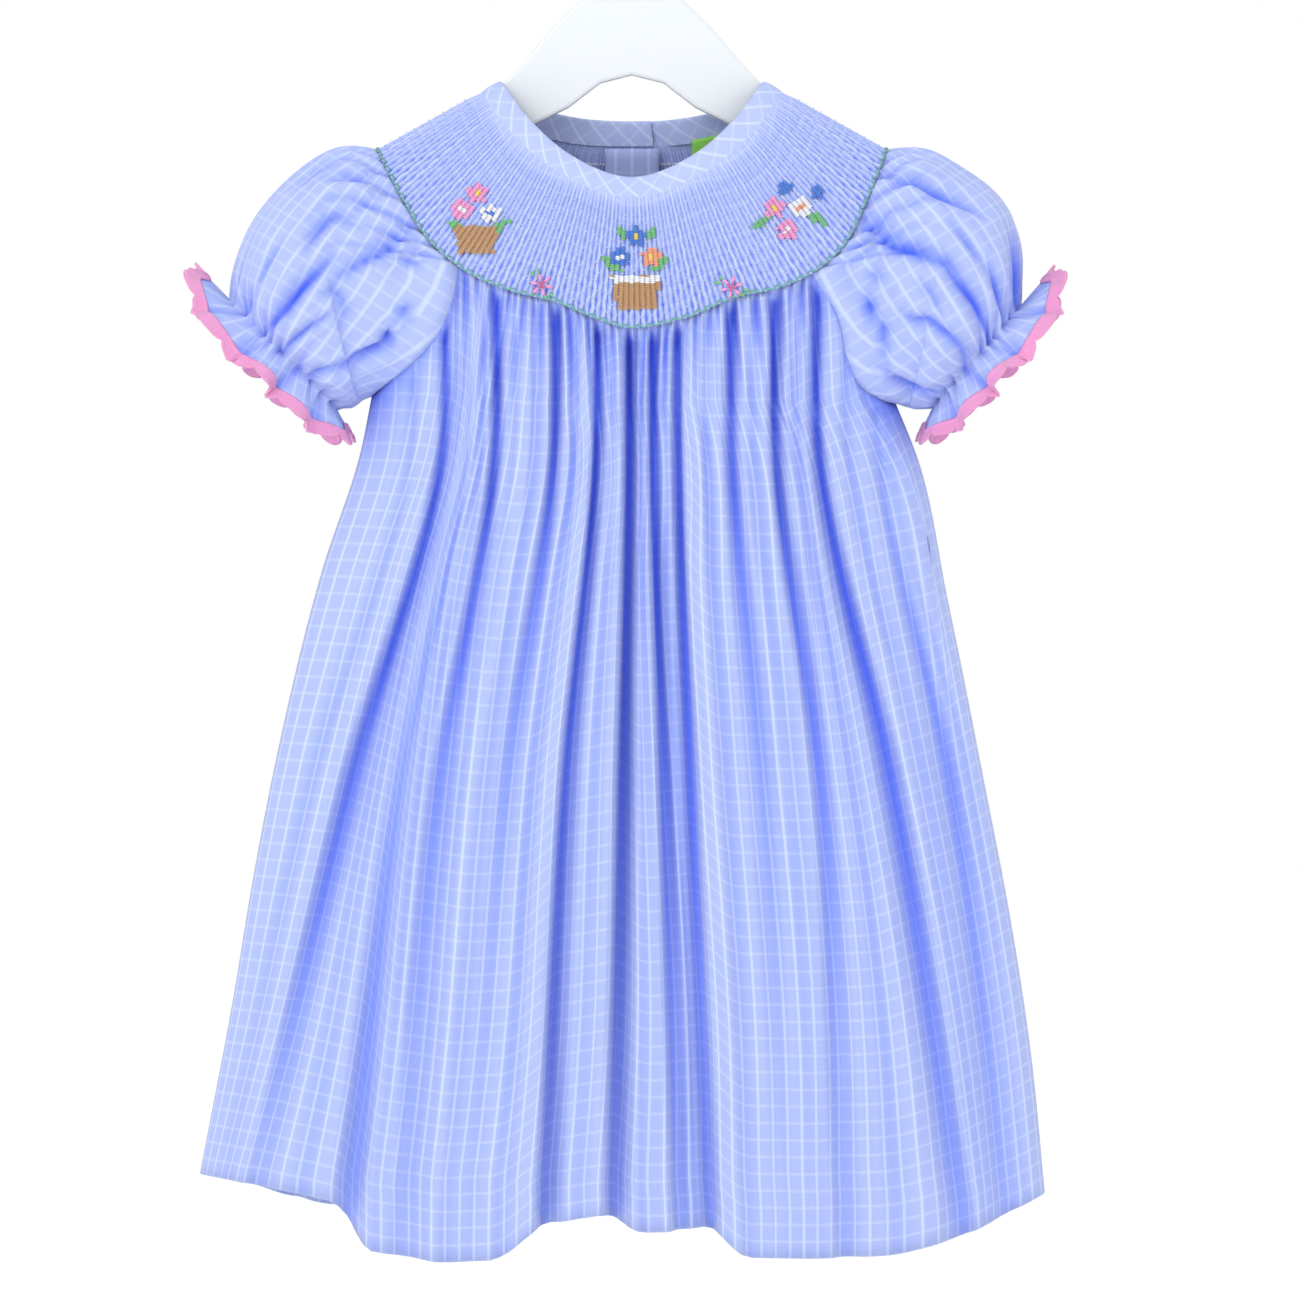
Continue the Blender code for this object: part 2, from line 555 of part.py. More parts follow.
def cloth_wall(name, outer, inner, closed, surface):
    """A closed wall between an outer and an inner grid that share their column count."""
    mesh_data = bmesh.new()
    out = lay_grid(mesh_data, outer, closed)
    ins = lay_grid(mesh_data, inner, closed)
    columns = outer.shape[1]
    last = columns if closed else columns - 1
    for row_out, row_in in ((out[0], ins[0]), (out[-1], ins[-1])):
        for i in range(last):
            k = (i + 1) % columns
            mesh_data.faces.new((row_out[i], row_out[k], row_in[k], row_in[i]))
    if not closed:
        for i in (0, columns - 1):
            loop = [row[i] for row in out] + [row[i] for row in reversed(ins)]
            mesh_data.faces.new(loop)
    return finish_object(name, mesh_data, surface)


COTTON = ((0.43, 0.52, 0.94), 0.85)
CROCHET = ((0.93, 0.35, 0.62), 0.8)
PLASTIC_WHITE = ((0.92, 0.94, 0.97), 0.35)
BUTTON_WHITE = ((0.88, 0.90, 0.95), 0.3)
LABEL_GREEN = ((0.31, 0.74, 0.13), 0.6)


def smocked_panel(name, start, end):
    """Smocked top of one panel: pleats raised on the outside in zigzag rows, plain inside."""
    pleats = max(2, round(PLEATS_AROUND * abs(end - start)))
    shares = np.linspace(start, end, 2 * pleats + 1)
    step = (end - start) / (2 * pleats)
    downs = np.linspace(0.0, 1.0, SMOCKING_ROWS + 1)
    grid = np.empty((len(downs), len(shares), 3))
    for j, down in enumerate(downs):
        sway = (1 if j % 2 else -1) * PLEAT_SWAY * 2 * step if 0 < j < SMOCKING_ROWS else 0.0
        for i, share in enumerate(shares):
            moved = share if i in (0, len(shares) - 1) else share + sway
            grid[j, i] = yoke_point(moved, down)
    normals = grid_normals(grid, False)
    relief = np.array([[PLEAT_RELIEF * (i % 2) * (1.0 if j else 0.15) for i in range(len(shares))]
                       for j in range(len(downs))])
    outer = grid + normals * (CLOTH / 2 + relief[:, :, None])
    plain = np.array([[yoke_point(share, down) for share in shares] for down in (0.0, 0.5, 1.0)])
    inner = plain - grid_normals(plain, False) * (CLOTH / 2)
    trim_edges(outer, SEAM_GAP / 2)
    trim_edges(inner, SEAM_GAP / 2)
    return cloth_wall(name, outer, inner, False, COTTON)


def trim_edges(grid, amount):
    """Draw the edge points in a little, so that neighbours keep a gap at their seam."""
    for edge, beside in ((grid[0], grid[1]), (grid[-1], grid[-2]),
                         (grid[:, 0], grid[:, 1]), (grid[:, -1], grid[:, -2])):
        toward = beside - edge
        toward /= np.maximum(np.linalg.norm(toward, axis=-1, keepdims=True), 1e-9)
        edge += toward * amount


def skirt_panel(name, panel, start, end):
    """Skirt from the stitch row to the hem between two shares along the panel."""
    shares = [share for share in panel.columns() if start < share < end]
    shares = [start] + shares + [end]
    grid = np.array([[panel.point(share, down) for share in shares] for down in SKIRT_ROWS])
    normals = grid_normals(grid, False) * (1.0 if panel.facing < 0 else -1.0)
    outer = grid + normals * CLOTH / 2
    inner = grid - normals * CLOTH / 2
    for side in (outer, inner):
        trim_edges(side, SEAM_GAP / 2)
        side[0, :, 2] += SEAM_GAP / 2
        for column, share in ((0, start), (-1, end)):
            if share in (0.0, 1.0):
                clear = np.maximum(side[:, column, 1] * panel.facing, SEAM_GAP * 0.6)
                side[:, column, 1] = clear * panel.facing
            else:
                away = 1.0 if column == 0 else -1.0
                side[:, column, 0] = np.maximum(side[:, column, 0] * away, SEAM_GAP * 0.6) * away
    return cloth_wall(name, outer, inner, False, COTTON)


def puff_sleeve(name, sleeve):
    """Sleeve from its seam through the elastic to the ruffle's edge."""
    shares = np.arange(SLEEVE_GATHERS * 2) / (SLEEVE_GATHERS * 2)
    body = [[sleeve.point(share, along) for share in shares] for along in SLEEVE_ROWS]
    outs = (RUFFLE_LENGTH * 0.5, RUFFLE_LENGTH)
    ruffle = [[sleeve.ruffle_point(share, out) for share in shares] for out in outs]
    grid = np.array(body + ruffle)
    normals = grid_normals(grid, True)
    if np.sum(normals[4] * (grid[4] - grid[4].mean(axis=0))) < 0:
        normals = -normals
    return cloth_wall(name, grid + normals * CLOTH / 2, grid - normals * CLOTH / 2, True, COTTON)


def scalloped_edging(name, sleeve):
    """Crochet edging that carries on from the ruffle in small scallops."""
    shares = np.arange(SLEEVE_GATHERS * 2) / (SLEEVE_GATHERS * 2)
    start = RUFFLE_LENGTH + EDGING_GAP
    deep = [start + EDGING_DEPTH * (EDGING_NOTCH if i % 2 else 1.0) for i in range(len(shares))]
    grid = np.array([[sleeve.ruffle_point(share, start) for share in shares],
                     [sleeve.ruffle_point(share, deep[i]) for i, share in enumerate(shares)]])
    normals = grid_normals(grid, True)
    if np.sum(normals[0] * (grid[0] - grid[0].mean(axis=0))) < 0:
        normals = -normals
    return cloth_wall(name, grid + normals * EDGING_WALL / 2, grid - normals * EDGING_WALL / 2, True, CROCHET)


def neckband():
    """Bias strip round the neck with its end lapped outside at the centre back."""
    quarter = 0.25 * (1 - (1 - np.linspace(0, 1, BAND_STEPS + 1)) ** 1.5)
    half = np.concatenate([quarter, 0.5 - quarter[-2::-1]])
    shares = np.concatenate([[-BAND_LAP], half, 1 - half[-2::-1], [1 + BAND_LAP]])
    grid = np.empty((3, len(shares), 3))
    for i, share in enumerate(shares):
        lift = BAND_LAP_LIFT * ease((share - (1 - 2.2 * BAND_LAP)) / BAND_LAP)
        for j, down in enumerate((0.0, 0.5, 1.0)):
            edge = on_ring("edge", share)
            seam = on_ring("seam", share)
            grid[j, i] = edge + (seam - edge) * down * BAND_SHARE + np.array([0.0, lift, 0.0])
    normals = grid_normals(grid, False)
    return cloth_wall("neckband", grid + normals * DOUBLE_CLOTH / 2, grid - normals * DOUBLE_CLOTH / 2,
                      False, COTTON)


def back_depth_at(x, drop):
    """Where the back's cloth lies in y near the centre, from the neck seam down."""
    heights = []
    for ring in ("seam", "stitch"):
        curve = RINGS[ring][0][::-1]
        heights.append((np.interp(-abs(x), curve[:, 0], curve[:, 1]),
                        np.interp(-abs(x), curve[:, 0], curve[:, 2])))
    (seam_y, seam_drop), (stitch_y, stitch_drop) = heights
    if drop < stitch_drop:
        down = (drop - seam_drop) / (stitch_drop - seam_drop)
        return seam_y + (stitch_y - seam_y) * down + 3.0 * math.sin(math.pi * min(max(down, 0.0), 1.0))
    share = ease((drop - stitch_drop) / 55.0)
    return stitch_y + (BACK_PANEL.half_depth(drop) - stitch_y) * share


def back_strip(name, left, right, top, bottom, offset, wall, surface, row_count):
    """A strip that follows the back at an even distance from its middle."""
    drops = np.linspace(top, bottom, row_count)
    places = np.linspace(left, right, 5)
    grid = np.array([[(x, back_depth_at(x, drop) + offset, drop) for x in places] for drop in drops])
    step = np.array([0.0, wall / 2, 0.0])
    return cloth_wall(name, grid + step, grid - step, False, surface)


def button(name, x, y, drop):
    """Plain round button with a sunk middle, its axis along y."""
    mesh_data = bmesh.new()
    rings = ((0.0, 0.9), (BUTTON_RADIUS - 2.2, 0.9), (BUTTON_RADIUS - 1.4, 0.0), (BUTTON_RADIUS, 0.5),
             (BUTTON_RADIUS, BUTTON_THICKNESS), (0.0, BUTTON_THICKNESS))
    verts = [mesh_data.verts.new(to_world((x + radius, y + BUTTON_THICKNESS - depth, drop)))
             for radius, depth in rings]
    edges = [mesh_data.edges.new(pair) for pair in zip(verts[:-1], verts[1:])]
    centre = to_world((x, y, drop))
    bmesh.ops.spin(mesh_data, geom=verts + edges, cent=centre, axis=(0, 1, 0), angle=2 * math.pi,
                   steps=14, use_merge=True)
    bmesh.ops.remove_doubles(mesh_data, verts=mesh_data.verts[:], dist=0.00001)
    return finish_object(name, mesh_data, BUTTON_WHITE)


def hanger():
    """Moulded hanger: a bell-shaped head, two arms and a fixed hook, all in one."""
    top = np.array([[s.x, s.drop] for s in HANGER_TOP])
    under = np.array([[s.x, s.drop] for s in HANGER_UNDER])
    end = np.array([[s.x, s.drop] for s in HANGER_END])
    right_half = np.concatenate([top, end, under])
    left_half = right_half[1:-1][::-1] * np.array([-1.0, 1.0])
    outline = np.concatenate([right_half, left_half])
    mesh_data = bmesh.new()
    verts = [mesh_data.verts.new(to_world((x, -HANGER_THICKNESS / 2, drop))) for x, drop in outline]
    face = mesh_data.faces.new(verts)
    extruded = bmesh.ops.extrude_face_region(mesh_data, geom=[face])
    moved = [item for item in extruded["geom"] if isinstance(item, bmesh.types.BMVert)]
    bmesh.ops.translate(mesh_data, verts=moved, vec=(0, HANGER_THICKNESS * MM, 0))
    rim = [edge for edge in mesh_data.edges if abs(edge.verts[0].co.y - edge.verts[1].co.y) < 1e-6]
    bmesh.ops.bevel(mesh_data, geom=rim, offset=1.6 * MM, segments=2, profile=0.5, affect="EDGES", material=-1)
    plate = finish_object("hanger", mesh_data, PLASTIC_WHITE)
    hook = hook_solid()
    union = plate.modifiers.new("hook", "BOOLEAN")
    union.operation = "UNION"
    union.object = hook
    return plate


def hook_solid():
    """Round rod bent into a hook, sunk into the top of the head; a guide for the hanger's union."""
    rod = HOOK_ROD / 2
    bend = HOOK_INNER_RADIUS + rod
    centre_height = -HOOK_INNER_RADIUS
    stem_foot = -NECK_BELOW_HOOK - HANGER_TOP[0].drop - 6.0
    path = [(0.0, stem_foot), (0.0, centre_height - bend - 3.0)]
    for degrees in range(-80, 196, 15):
        turn = math.radians(degrees)
        path.append((bend * math.cos(turn), centre_height + bend * math.sin(turn)))
    curve = bpy.data.curves.new("hook_rod", "CURVE")
    curve.dimensions = "3D"
    curve.bevel_depth = rod * MM
    curve.bevel_resolution = 2
    curve.use_fill_caps = True
    spline = curve.splines.new("POLY")
    spline.points.add(len(path) - 1)
    for place, (x, height) in zip(spline.points, path):
        place.co = (x * MM, 0.0, height * MM, 1.0)
    guide = bpy.data.objects.new("hook_guide", curve)
    bpy.context.scene.collection.objects.link(guide)
    bpy.context.view_layer.update()
    mesh = bpy.data.meshes.new_from_object(guide.evaluated_get(bpy.context.evaluated_depsgraph_get()))
    solid = bpy.data.objects.new("hook_guide_solid", mesh)
    bpy.context.scene.collection.objects.link(solid)
    bpy.data.objects.remove(guide, do_unlink=True)
    solid.hide_render = True
    solid.display_type = "WIRE"
    return solid


def build_dress():
    """All pieces of the dress and its hanger."""
    smocked_panel("front_smocking", RAGLAN_FRONT_LEFT, RAGLAN_FRONT_RIGHT)
    smocked_panel("sleeve_left_smocking", RAGLAN_BACK_LEFT, RAGLAN_FRONT_LEFT)
    smocked_panel("sleeve_right_smocking", RAGLAN_FRONT_RIGHT, RAGLAN_BACK_RIGHT)
    smocked_panel("back_left_smocking", BACK_OPENING_SHARE, RAGLAN_BACK_LEFT)
    smocked_panel("back_right_smocking", RAGLAN_BACK_RIGHT, 1 - BACK_OPENING_SHARE)
    skirt_panel("front", FRONT_PANEL, 0.0, 1.0)
    skirt_panel("back_left", BACK_PANEL, 0.0, 0.5)
    skirt_panel("back_right", BACK_PANEL, 0.5, 1.0)
    for side, sleeve in SLEEVES.items():
        puff_sleeve("sleeve_" + side, sleeve)
        scalloped_edging("edging_" + side, sleeve)
    neckband()
    half = PLACKET_WIDTH / 2
    over = CLOTH + PLEAT_RELIEF + PLACKET_OVER_GAP
    under = -CLOTH - GATHER_RELIEF - PLACKET_UNDER_GAP
    back_strip("placket_over", -half, half, PLACKET_TOP, PLACKET_END, over, CLOTH, COTTON, 12)
    back_strip("placket_under", -half, half, PLACKET_TOP, PLACKET_END, under, CLOTH, COTTON, 12)
    back_strip("label", LABEL_LEFT, LABEL_LEFT + LABEL_WIDTH, LABEL_TOP, LABEL_TOP + LABEL_LENGTH,
               LABEL_OFFSET, LABEL_WALL, LABEL_GREEN, 3)
    band_y = on_ring("seam", 0.0)[1] + BAND_LAP_LIFT + DOUBLE_CLOTH / 2
    button("button_1", 0.0, band_y + BAND_BUTTON_GAP, BAND_BUTTON_DROP)
    for number, drop in enumerate(BACK_BUTTON_DROPS, start=2):
        seat = max(back_depth_at(0.0, drop - BUTTON_RADIUS), back_depth_at(0.0, drop + BUTTON_RADIUS))
        button(f"button_{number}", 0.0, seat + over + CLOTH / 2 + BUTTON_GAP, drop)
    hanger()


build_dress()
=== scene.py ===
"""The look of a child's smocked dress on its hanger.

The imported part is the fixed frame. Every cloth node is replaced by a finer cloth of the same form, with the
creases, gathers, smocking, embroidery and crochet edging that the solids leave out. The hanger and the
buttons keep their solids and get their finishes here.

Sizes are in millimetres until a mesh is written. A place on the dress is (x, y, drop): x to the viewer's
right, y to the back, drop down from the level of the neck points. Cloth patterns are laid in metres of cloth.
"""

import math
from collections import namedtuple

import bmesh
import bpy
import numpy as np
from mathutils import Matrix, Vector


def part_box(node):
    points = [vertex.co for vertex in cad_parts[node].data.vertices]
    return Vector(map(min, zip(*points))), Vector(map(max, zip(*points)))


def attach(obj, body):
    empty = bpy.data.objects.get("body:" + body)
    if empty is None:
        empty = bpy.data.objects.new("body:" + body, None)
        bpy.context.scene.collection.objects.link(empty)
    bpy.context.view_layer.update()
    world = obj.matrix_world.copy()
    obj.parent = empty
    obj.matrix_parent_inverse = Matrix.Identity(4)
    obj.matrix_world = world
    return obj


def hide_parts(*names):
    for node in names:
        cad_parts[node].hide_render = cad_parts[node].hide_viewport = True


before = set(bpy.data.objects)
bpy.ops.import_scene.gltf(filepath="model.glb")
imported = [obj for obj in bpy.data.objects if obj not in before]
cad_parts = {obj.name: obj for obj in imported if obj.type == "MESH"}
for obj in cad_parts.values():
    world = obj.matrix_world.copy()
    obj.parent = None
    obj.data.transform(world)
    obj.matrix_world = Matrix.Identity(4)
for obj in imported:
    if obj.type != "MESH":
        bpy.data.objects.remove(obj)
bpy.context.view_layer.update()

# Sizes shared with the solids
MM = 0.001
NECK_BELOW_HOOK = 105.0
CLOTH = 1.2
BAND_SHARE = 1.0
BAND_LAP = 0.030
BAND_LAP_LIFT = 2.3
SLEEVE_GATHERS = 26
RUFFLE_WAVES = 12
RUFFLE_LENGTH = 14.0
RUFFLE_WAVE = 3.8
EDGING_DEPTH = 5.5
PLACKET_WIDTH = 26.0
PLACKET_TOP = 28.5
PLACKET_END = 196.0
LABEL_LEFT = 28.8
LABEL_TOP = 24.6
LABEL_WIDTH = 21.0
LABEL_LENGTH = 17.0

# Sizes of the cloth
SHELL = 0.7
FINE_WAVE = 0.6
CLOTH_TAKEN_UP = 1.12
CHECK_REPEAT = 0.0079
PLEATS = 240
PLEAT_COLUMNS = 6
PLEAT_HEIGHT = 1.7
PLEAT_SWAY = 0.20
SMOCKING_ROWS = 14
YOKE_ROWS = 42
YOKE_CLOTH_PER_PLEAT = 0.0035
YOKE_CLOTH_DOWN = 0.00108
SKIRT_ROWS = 84
RAGLAN_COLUMNS = 30
SLEEVE_COLUMNS = 364
SLEEVE_ROWS = 46
RUFFLE_ROWS = 9
SCALLOPS = 27

Spot = namedtuple("Spot", "x drop")
Spot3 = namedtuple("Spot3", "x y drop")
Reach = namedtuple("Reach", "y drop")
Fold = namedtuple("Fold", "along top middle hem top_depth middle_depth hem_depth width")
Soft = namedtuple("Soft", "top middle hem top_depth middle_depth hem_depth width")
Gather = namedtuple("Gather", "x length depth width")
Section = namedtuple("Section", "along top_x top_drop bottom_x bottom_drop half_depth")
Crease = namedtuple("Crease", "depth width path")
Patch = namedtuple("Patch", "kind x drop half_width half_height turn floss")
Cut = namedtuple("Cut", "width length area held rests_on")

# Distance of a skirt edge from its seam line, and the share of a panel over which the edge eases to it
SEWN_GAP = 0.03
SEAM_EASE = 0.035

# Rings of the neck and yoke: each half runs from the shoulder to the centre, for the viewer's left side
NECK_EDGE_FRONT = (Spot(-62.5, -1.5), Spot(-47.5, 19.0), Spot(-30.0, 34.5), Spot(0.0, 45.8))
NECK_EDGE_BACK = (Spot(-62.5, -1.5), Spot(-50.0, 8.0), Spot(-30.0, 13.5), Spot(0.0, 15.7))
NECK_SEAM_FRONT = (Spot(-72.0, 4.5), Spot(-56.0, 26.5), Spot(-35.0, 44.0), Spot(0.0, 56.2))
NECK_SEAM_BACK = (Spot(-72.0, 4.5), Spot(-56.0, 18.0), Spot(-33.0, 25.0), Spot(0.0, 27.0))
STITCH_ROW_LEFT = (Spot(-120.3, 31.9), Spot(-105.8, 59.1), Spot(-96.5, 73.9), Spot(-74.8, 92.0),
                   Spot(-58.1, 99.1), Spot(-34.3, 105.5), Spot(-16.2, 113.0), Spot(0.0, 117.2))
STITCH_ROW_RIGHT = (Spot(-120.3, 31.9), Spot(-111.0, 55.0), Spot(-98.7, 79.0), Spot(-83.9, 91.5),
                    Spot(-67.7, 98.5), Spot(-49.6, 102.5), Spot(-25.0, 112.5), Spot(0.0, 117.2))
STITCH_ROW_BACK = (Spot(-120.3, 31.9), Spot(-105.0, 57.0), Spot(-80.0, 75.0), Spot(-45.0, 84.5),
                   Spot(0.0, 87.0))
RING_DEPTHS = {"edge": (27.0, 20.0), "seam": (30.0, 23.0), "stitch": (40.0, 35.0)}
RAGLAN_FRONT_LEFT = 0.370
RAGLAN_FRONT_RIGHT = 0.630
RAGLAN_BACK_LEFT = 0.130
RAGLAN_BACK_RIGHT = 0.870

# Raglan seams from the underarm up to the stitch row
UNDERARM_LEFT = Spot3(-124.0, 0.0, 148.0)
UNDERARM_RIGHT = Spot3(125.8, 0.0, 151.6)
RAGLAN_LEFT = (Spot3(-114.0, -19.0, 141.5), Spot3(-104.4, -27.0, 134.5), Spot3(-92.5, -33.0, 121.5),
               Spot3(-85.5, -36.0, 107.0))
RAGLAN_RIGHT = (Spot3(117.0, -18.0, 150.0), Spot3(107.5, -26.0, 144.0), Spot3(101.5, -31.0, 131.0),
                Spot3(97.0, -35.0, 112.0))
RAGLAN_BACK = (Spot3(-114.0, 17.0, 143.0), Spot3(-102.0, 26.0, 130.0), Spot3(-90.0, 31.0, 108.0))

# The skirt: side edges and hem as they hang
SIDE_LEFT = (Spot(-124.0, 148.0), Spot(-129.2, 174.0), Spot(-147.7, 231.0), Spot(-166.3, 305.5),
             Spot(-179.7, 372.7), Spot(-191.0, 440.0), Spot(-205.9, 518.0))
SIDE_RIGHT = (Spot(125.8, 151.6), Spot(134.9, 174.0), Spot(150.6, 245.4), Spot(168.7, 336.0),
              Spot(180.6, 398.0), Spot(190.2, 461.0), Spot(196.8, 527.0))
HEM_FRONT = (Spot(-205.9, 518.0), Spot(-174.9, 522.0), Spot(-138.0, 528.5), Spot(-126.0, 550.5),
             Spot(-89.0, 556.2), Spot(-62.0, 554.5), Spot(-42.4, 538.6), Spot(-12.0, 533.0), Spot(3.0, 542.0),
             Spot(23.0, 541.0), Spot(38.0, 539.5), Spot(52.0, 553.5), Spot(87.0, 554.3), Spot(125.3, 553.0),
             Spot(156.0, 545.5), Spot(176.0, 536.5), Spot(196.8, 527.0))
HEM_BACK = (Spot(-205.9, 518.0), Spot(-150.0, 536.0), Spot(-90.0, 541.0), Spot(0.0, 539.0),
            Spot(90.0, 542.0), Spot(150.0, 538.0), Spot(196.8, 527.0))
LEVEL_TOP = 165.0
LEVEL_MIDDLE = 330.0
LEVEL_HEM = 540.0
FRONT_REACH = (Reach(40.0, 92.0), Reach(42.0, 165.0), Reach(49.0, 330.0), Reach(57.0, 540.0))
BACK_REACH = (Reach(35.0, 76.0), Reach(38.0, 165.0), Reach(45.0, 330.0), Reach(52.0, 540.0))

# Main folds: place along the cloth, x at three levels, how far the trough goes in at each level, half width
FRONT_FOLDS = (
    Fold(0.105, -89.0, -133.0, -182.0, 10.0, 17.0, 4.0, 7.0),
    Fold(0.185, -77.0, -108.0, -133.0, 2.0, 7.0, 15.0, 6.0),
    Fold(0.255, -64.0, -90.0, -108.0, 11.0, 9.0, 5.0, 6.0),
    Fold(0.335, -36.0, -58.0, -76.0, 11.0, 6.0, 2.0, 6.0),
    Fold(0.415, -17.0, -31.5, -42.0, 12.0, 14.0, 17.0, 5.0),
    Fold(0.490, -1.5, -4.5, -9.0, 17.0, 21.0, 15.0, 5.0),
    Fold(0.550, 9.5, 14.5, 22.0, 14.0, 16.0, 11.0, 4.5),
    Fold(0.605, 22.5, 28.5, 38.0, 11.0, 15.0, 17.0, 5.0),
    Fold(0.693, 47.0, 62.0, 74.0, 10.0, 7.0, 2.0, 7.0),
    Fold(0.767, 67.0, 88.0, 99.5, 12.0, 10.0, 7.0, 6.0),
    Fold(0.872, 88.0, 123.0, 157.0, 12.0, 14.0, 11.0, 7.0),
    Fold(0.952, 116.0, 151.0, 179.0, 3.0, 10.0, 7.0, 6.0),
)
BACK_FOLDS = (
    Fold(0.090, -98.0, -136.0, -168.0, 9.0, 14.0, 9.0, 7.0),
    Fold(0.185, -76.0, -105.0, -129.0, 11.0, 9.0, 5.0, 7.0),
    Fold(0.285, -51.0, -71.0, -88.0, 11.0, 13.0, 15.0, 6.0),
    Fold(0.385, -27.0, -38.0, -47.0, 9.0, 12.0, 8.0, 6.0),
    Fold(0.615, 28.0, 39.0, 46.0, 9.0, 11.0, 14.0, 6.0),
    Fold(0.715, 52.0, 70.0, 86.0, 11.0, 9.0, 5.0, 6.0),
    Fold(0.815, 77.0, 106.0, 127.0, 10.0, 14.0, 12.0, 7.0),
    Fold(0.910, 100.0, 137.0, 164.0, 9.0, 12.0, 7.0, 7.0),
)

# Softer folds between the main ones: x at three levels, depth at each, half width
FRONT_SOFT = (
    Soft(-103.0, -150.0, -196.0, 2.5, 3.0, 2.5, 7.0),
    Soft(-83.0, -121.0, -160.0, 2.0, 3.0, 3.5, 8.0),
    Soft(-70.0, -99.0, -119.0, 2.5, 3.0, 1.5, 6.0),
    Soft(-55.0, -80.0, -98.0, 2.0, 3.0, 2.5, 7.0),
    Soft(-46.0, -69.0, -87.0, 2.5, 2.5, 3.0, 7.0),
    Soft(-26.0, -45.0, -59.0, 3.0, 3.5, 3.0, 6.0),
    Soft(-9.5, -18.0, -26.0, 2.5, 3.0, 3.0, 5.0),
    Soft(4.0, 5.0, 6.0, 2.5, 3.0, 3.0, 4.5),
    Soft(16.0, 21.5, 30.0, 2.0, 2.5, 3.0, 4.5),
    Soft(34.5, 45.0, 56.0, 2.5, 3.0, 3.0, 7.0),
    Soft(57.0, 75.0, 87.0, 2.5, 3.0, 2.0, 7.0),
    Soft(78.0, 105.0, 128.0, 2.5, 3.5, 3.0, 8.0),
    Soft(101.0, 137.0, 168.0, 2.5, 3.0, 3.5, 8.0),
    Soft(122.0, 160.0, 188.0, 1.5, 2.5, 2.5, 7.0),
)
BACK_SOFT = (
    Soft(-112.0, -152.0, -187.0, 2.0, 3.0, 3.0, 7.0),
    Soft(-87.0, -121.0, -149.0, 2.0, 3.0, 3.0, 8.0),
    Soft(-63.0, -88.0, -108.0, 2.5, 2.5, 3.0, 7.0),
    Soft(-39.0, -54.0, -68.0, 2.5, 3.0, 2.5, 6.0),
    Soft(-15.0, -21.0, -27.0, 2.0, 3.0, 3.0, 6.0),
    Soft(14.0, 20.0, 25.0, 2.5, 3.0, 3.0, 6.0),
    Soft(40.0, 55.0, 67.0, 2.5, 2.5, 3.0, 6.0),
    Soft(64.0, 89.0, 106.0, 2.0, 3.0, 2.5, 7.0),
    Soft(89.0, 122.0, 147.0, 2.5, 3.0, 3.0, 8.0),
    Soft(112.0, 151.0, 180.0, 2.0, 3.0, 3.0, 7.0),
)

# Gathers under the stitch row: x at the row, how far down they run, depth and half width
FRONT_GATHERS = (
    Gather(-92.3, 30, 2.4, 1.7), Gather(-86.7, 46, 3.0, 1.7), Gather(-82.0, 20, 2.2, 1.3),
    Gather(-78.5, 50, 3.2, 1.8), Gather(-72.4, 24, 2.4, 1.6), Gather(-65.3, 60, 3.6, 1.8),
    Gather(-60.5, 34, 2.4, 1.3), Gather(-57.3, 52, 3.0, 1.3), Gather(-54.2, 18, 2.2, 1.2),
    Gather(-50.2, 60, 3.6, 1.6), Gather(-46.2, 22, 2.2, 1.3), Gather(-42.3, 46, 3.0, 1.5),
    Gather(-38.3, 30, 2.6, 1.4), Gather(-34.3, 48, 3.0, 1.5), Gather(-29.5, 58, 3.6, 1.7),
    Gather(-24.8, 26, 2.4, 1.4), Gather(-20.8, 58, 3.4, 1.4), Gather(-16.8, 28, 2.4, 1.3),
    Gather(-13.3, 52, 3.2, 1.2), Gather(-8.9, 32, 2.6, 1.4), Gather(-5.4, 26, 2.4, 1.2),
    Gather(-1.8, 60, 3.6, 1.2), Gather(2.2, 28, 2.6, 1.2), Gather(6.2, 50, 3.2, 1.3),
    Gather(9.4, 40, 2.6, 1.1), Gather(13.0, 36, 2.8, 1.2), Gather(16.8, 56, 3.4, 1.3),
    Gather(21.3, 28, 2.6, 1.3), Gather(25.3, 40, 2.8, 1.3), Gather(30.0, 50, 3.0, 1.6),
    Gather(36.4, 30, 2.6, 1.6), Gather(40.4, 26, 2.4, 1.3), Gather(44.3, 34, 2.6, 1.3),
    Gather(48.3, 58, 3.6, 1.5), Gather(51.5, 22, 2.2, 1.1), Gather(57.8, 56, 3.4, 1.8),
    Gather(64.2, 32, 2.6, 1.7), Gather(69.7, 50, 3.0, 1.6), Gather(74.5, 26, 2.4, 1.5),
    Gather(80.1, 48, 3.0, 1.7), Gather(84.8, 24, 2.4, 1.4), Gather(89.6, 56, 3.2, 1.6),
    Gather(94.4, 28, 2.4, 1.5),
)
BACK_GATHER_STEP = 5.2

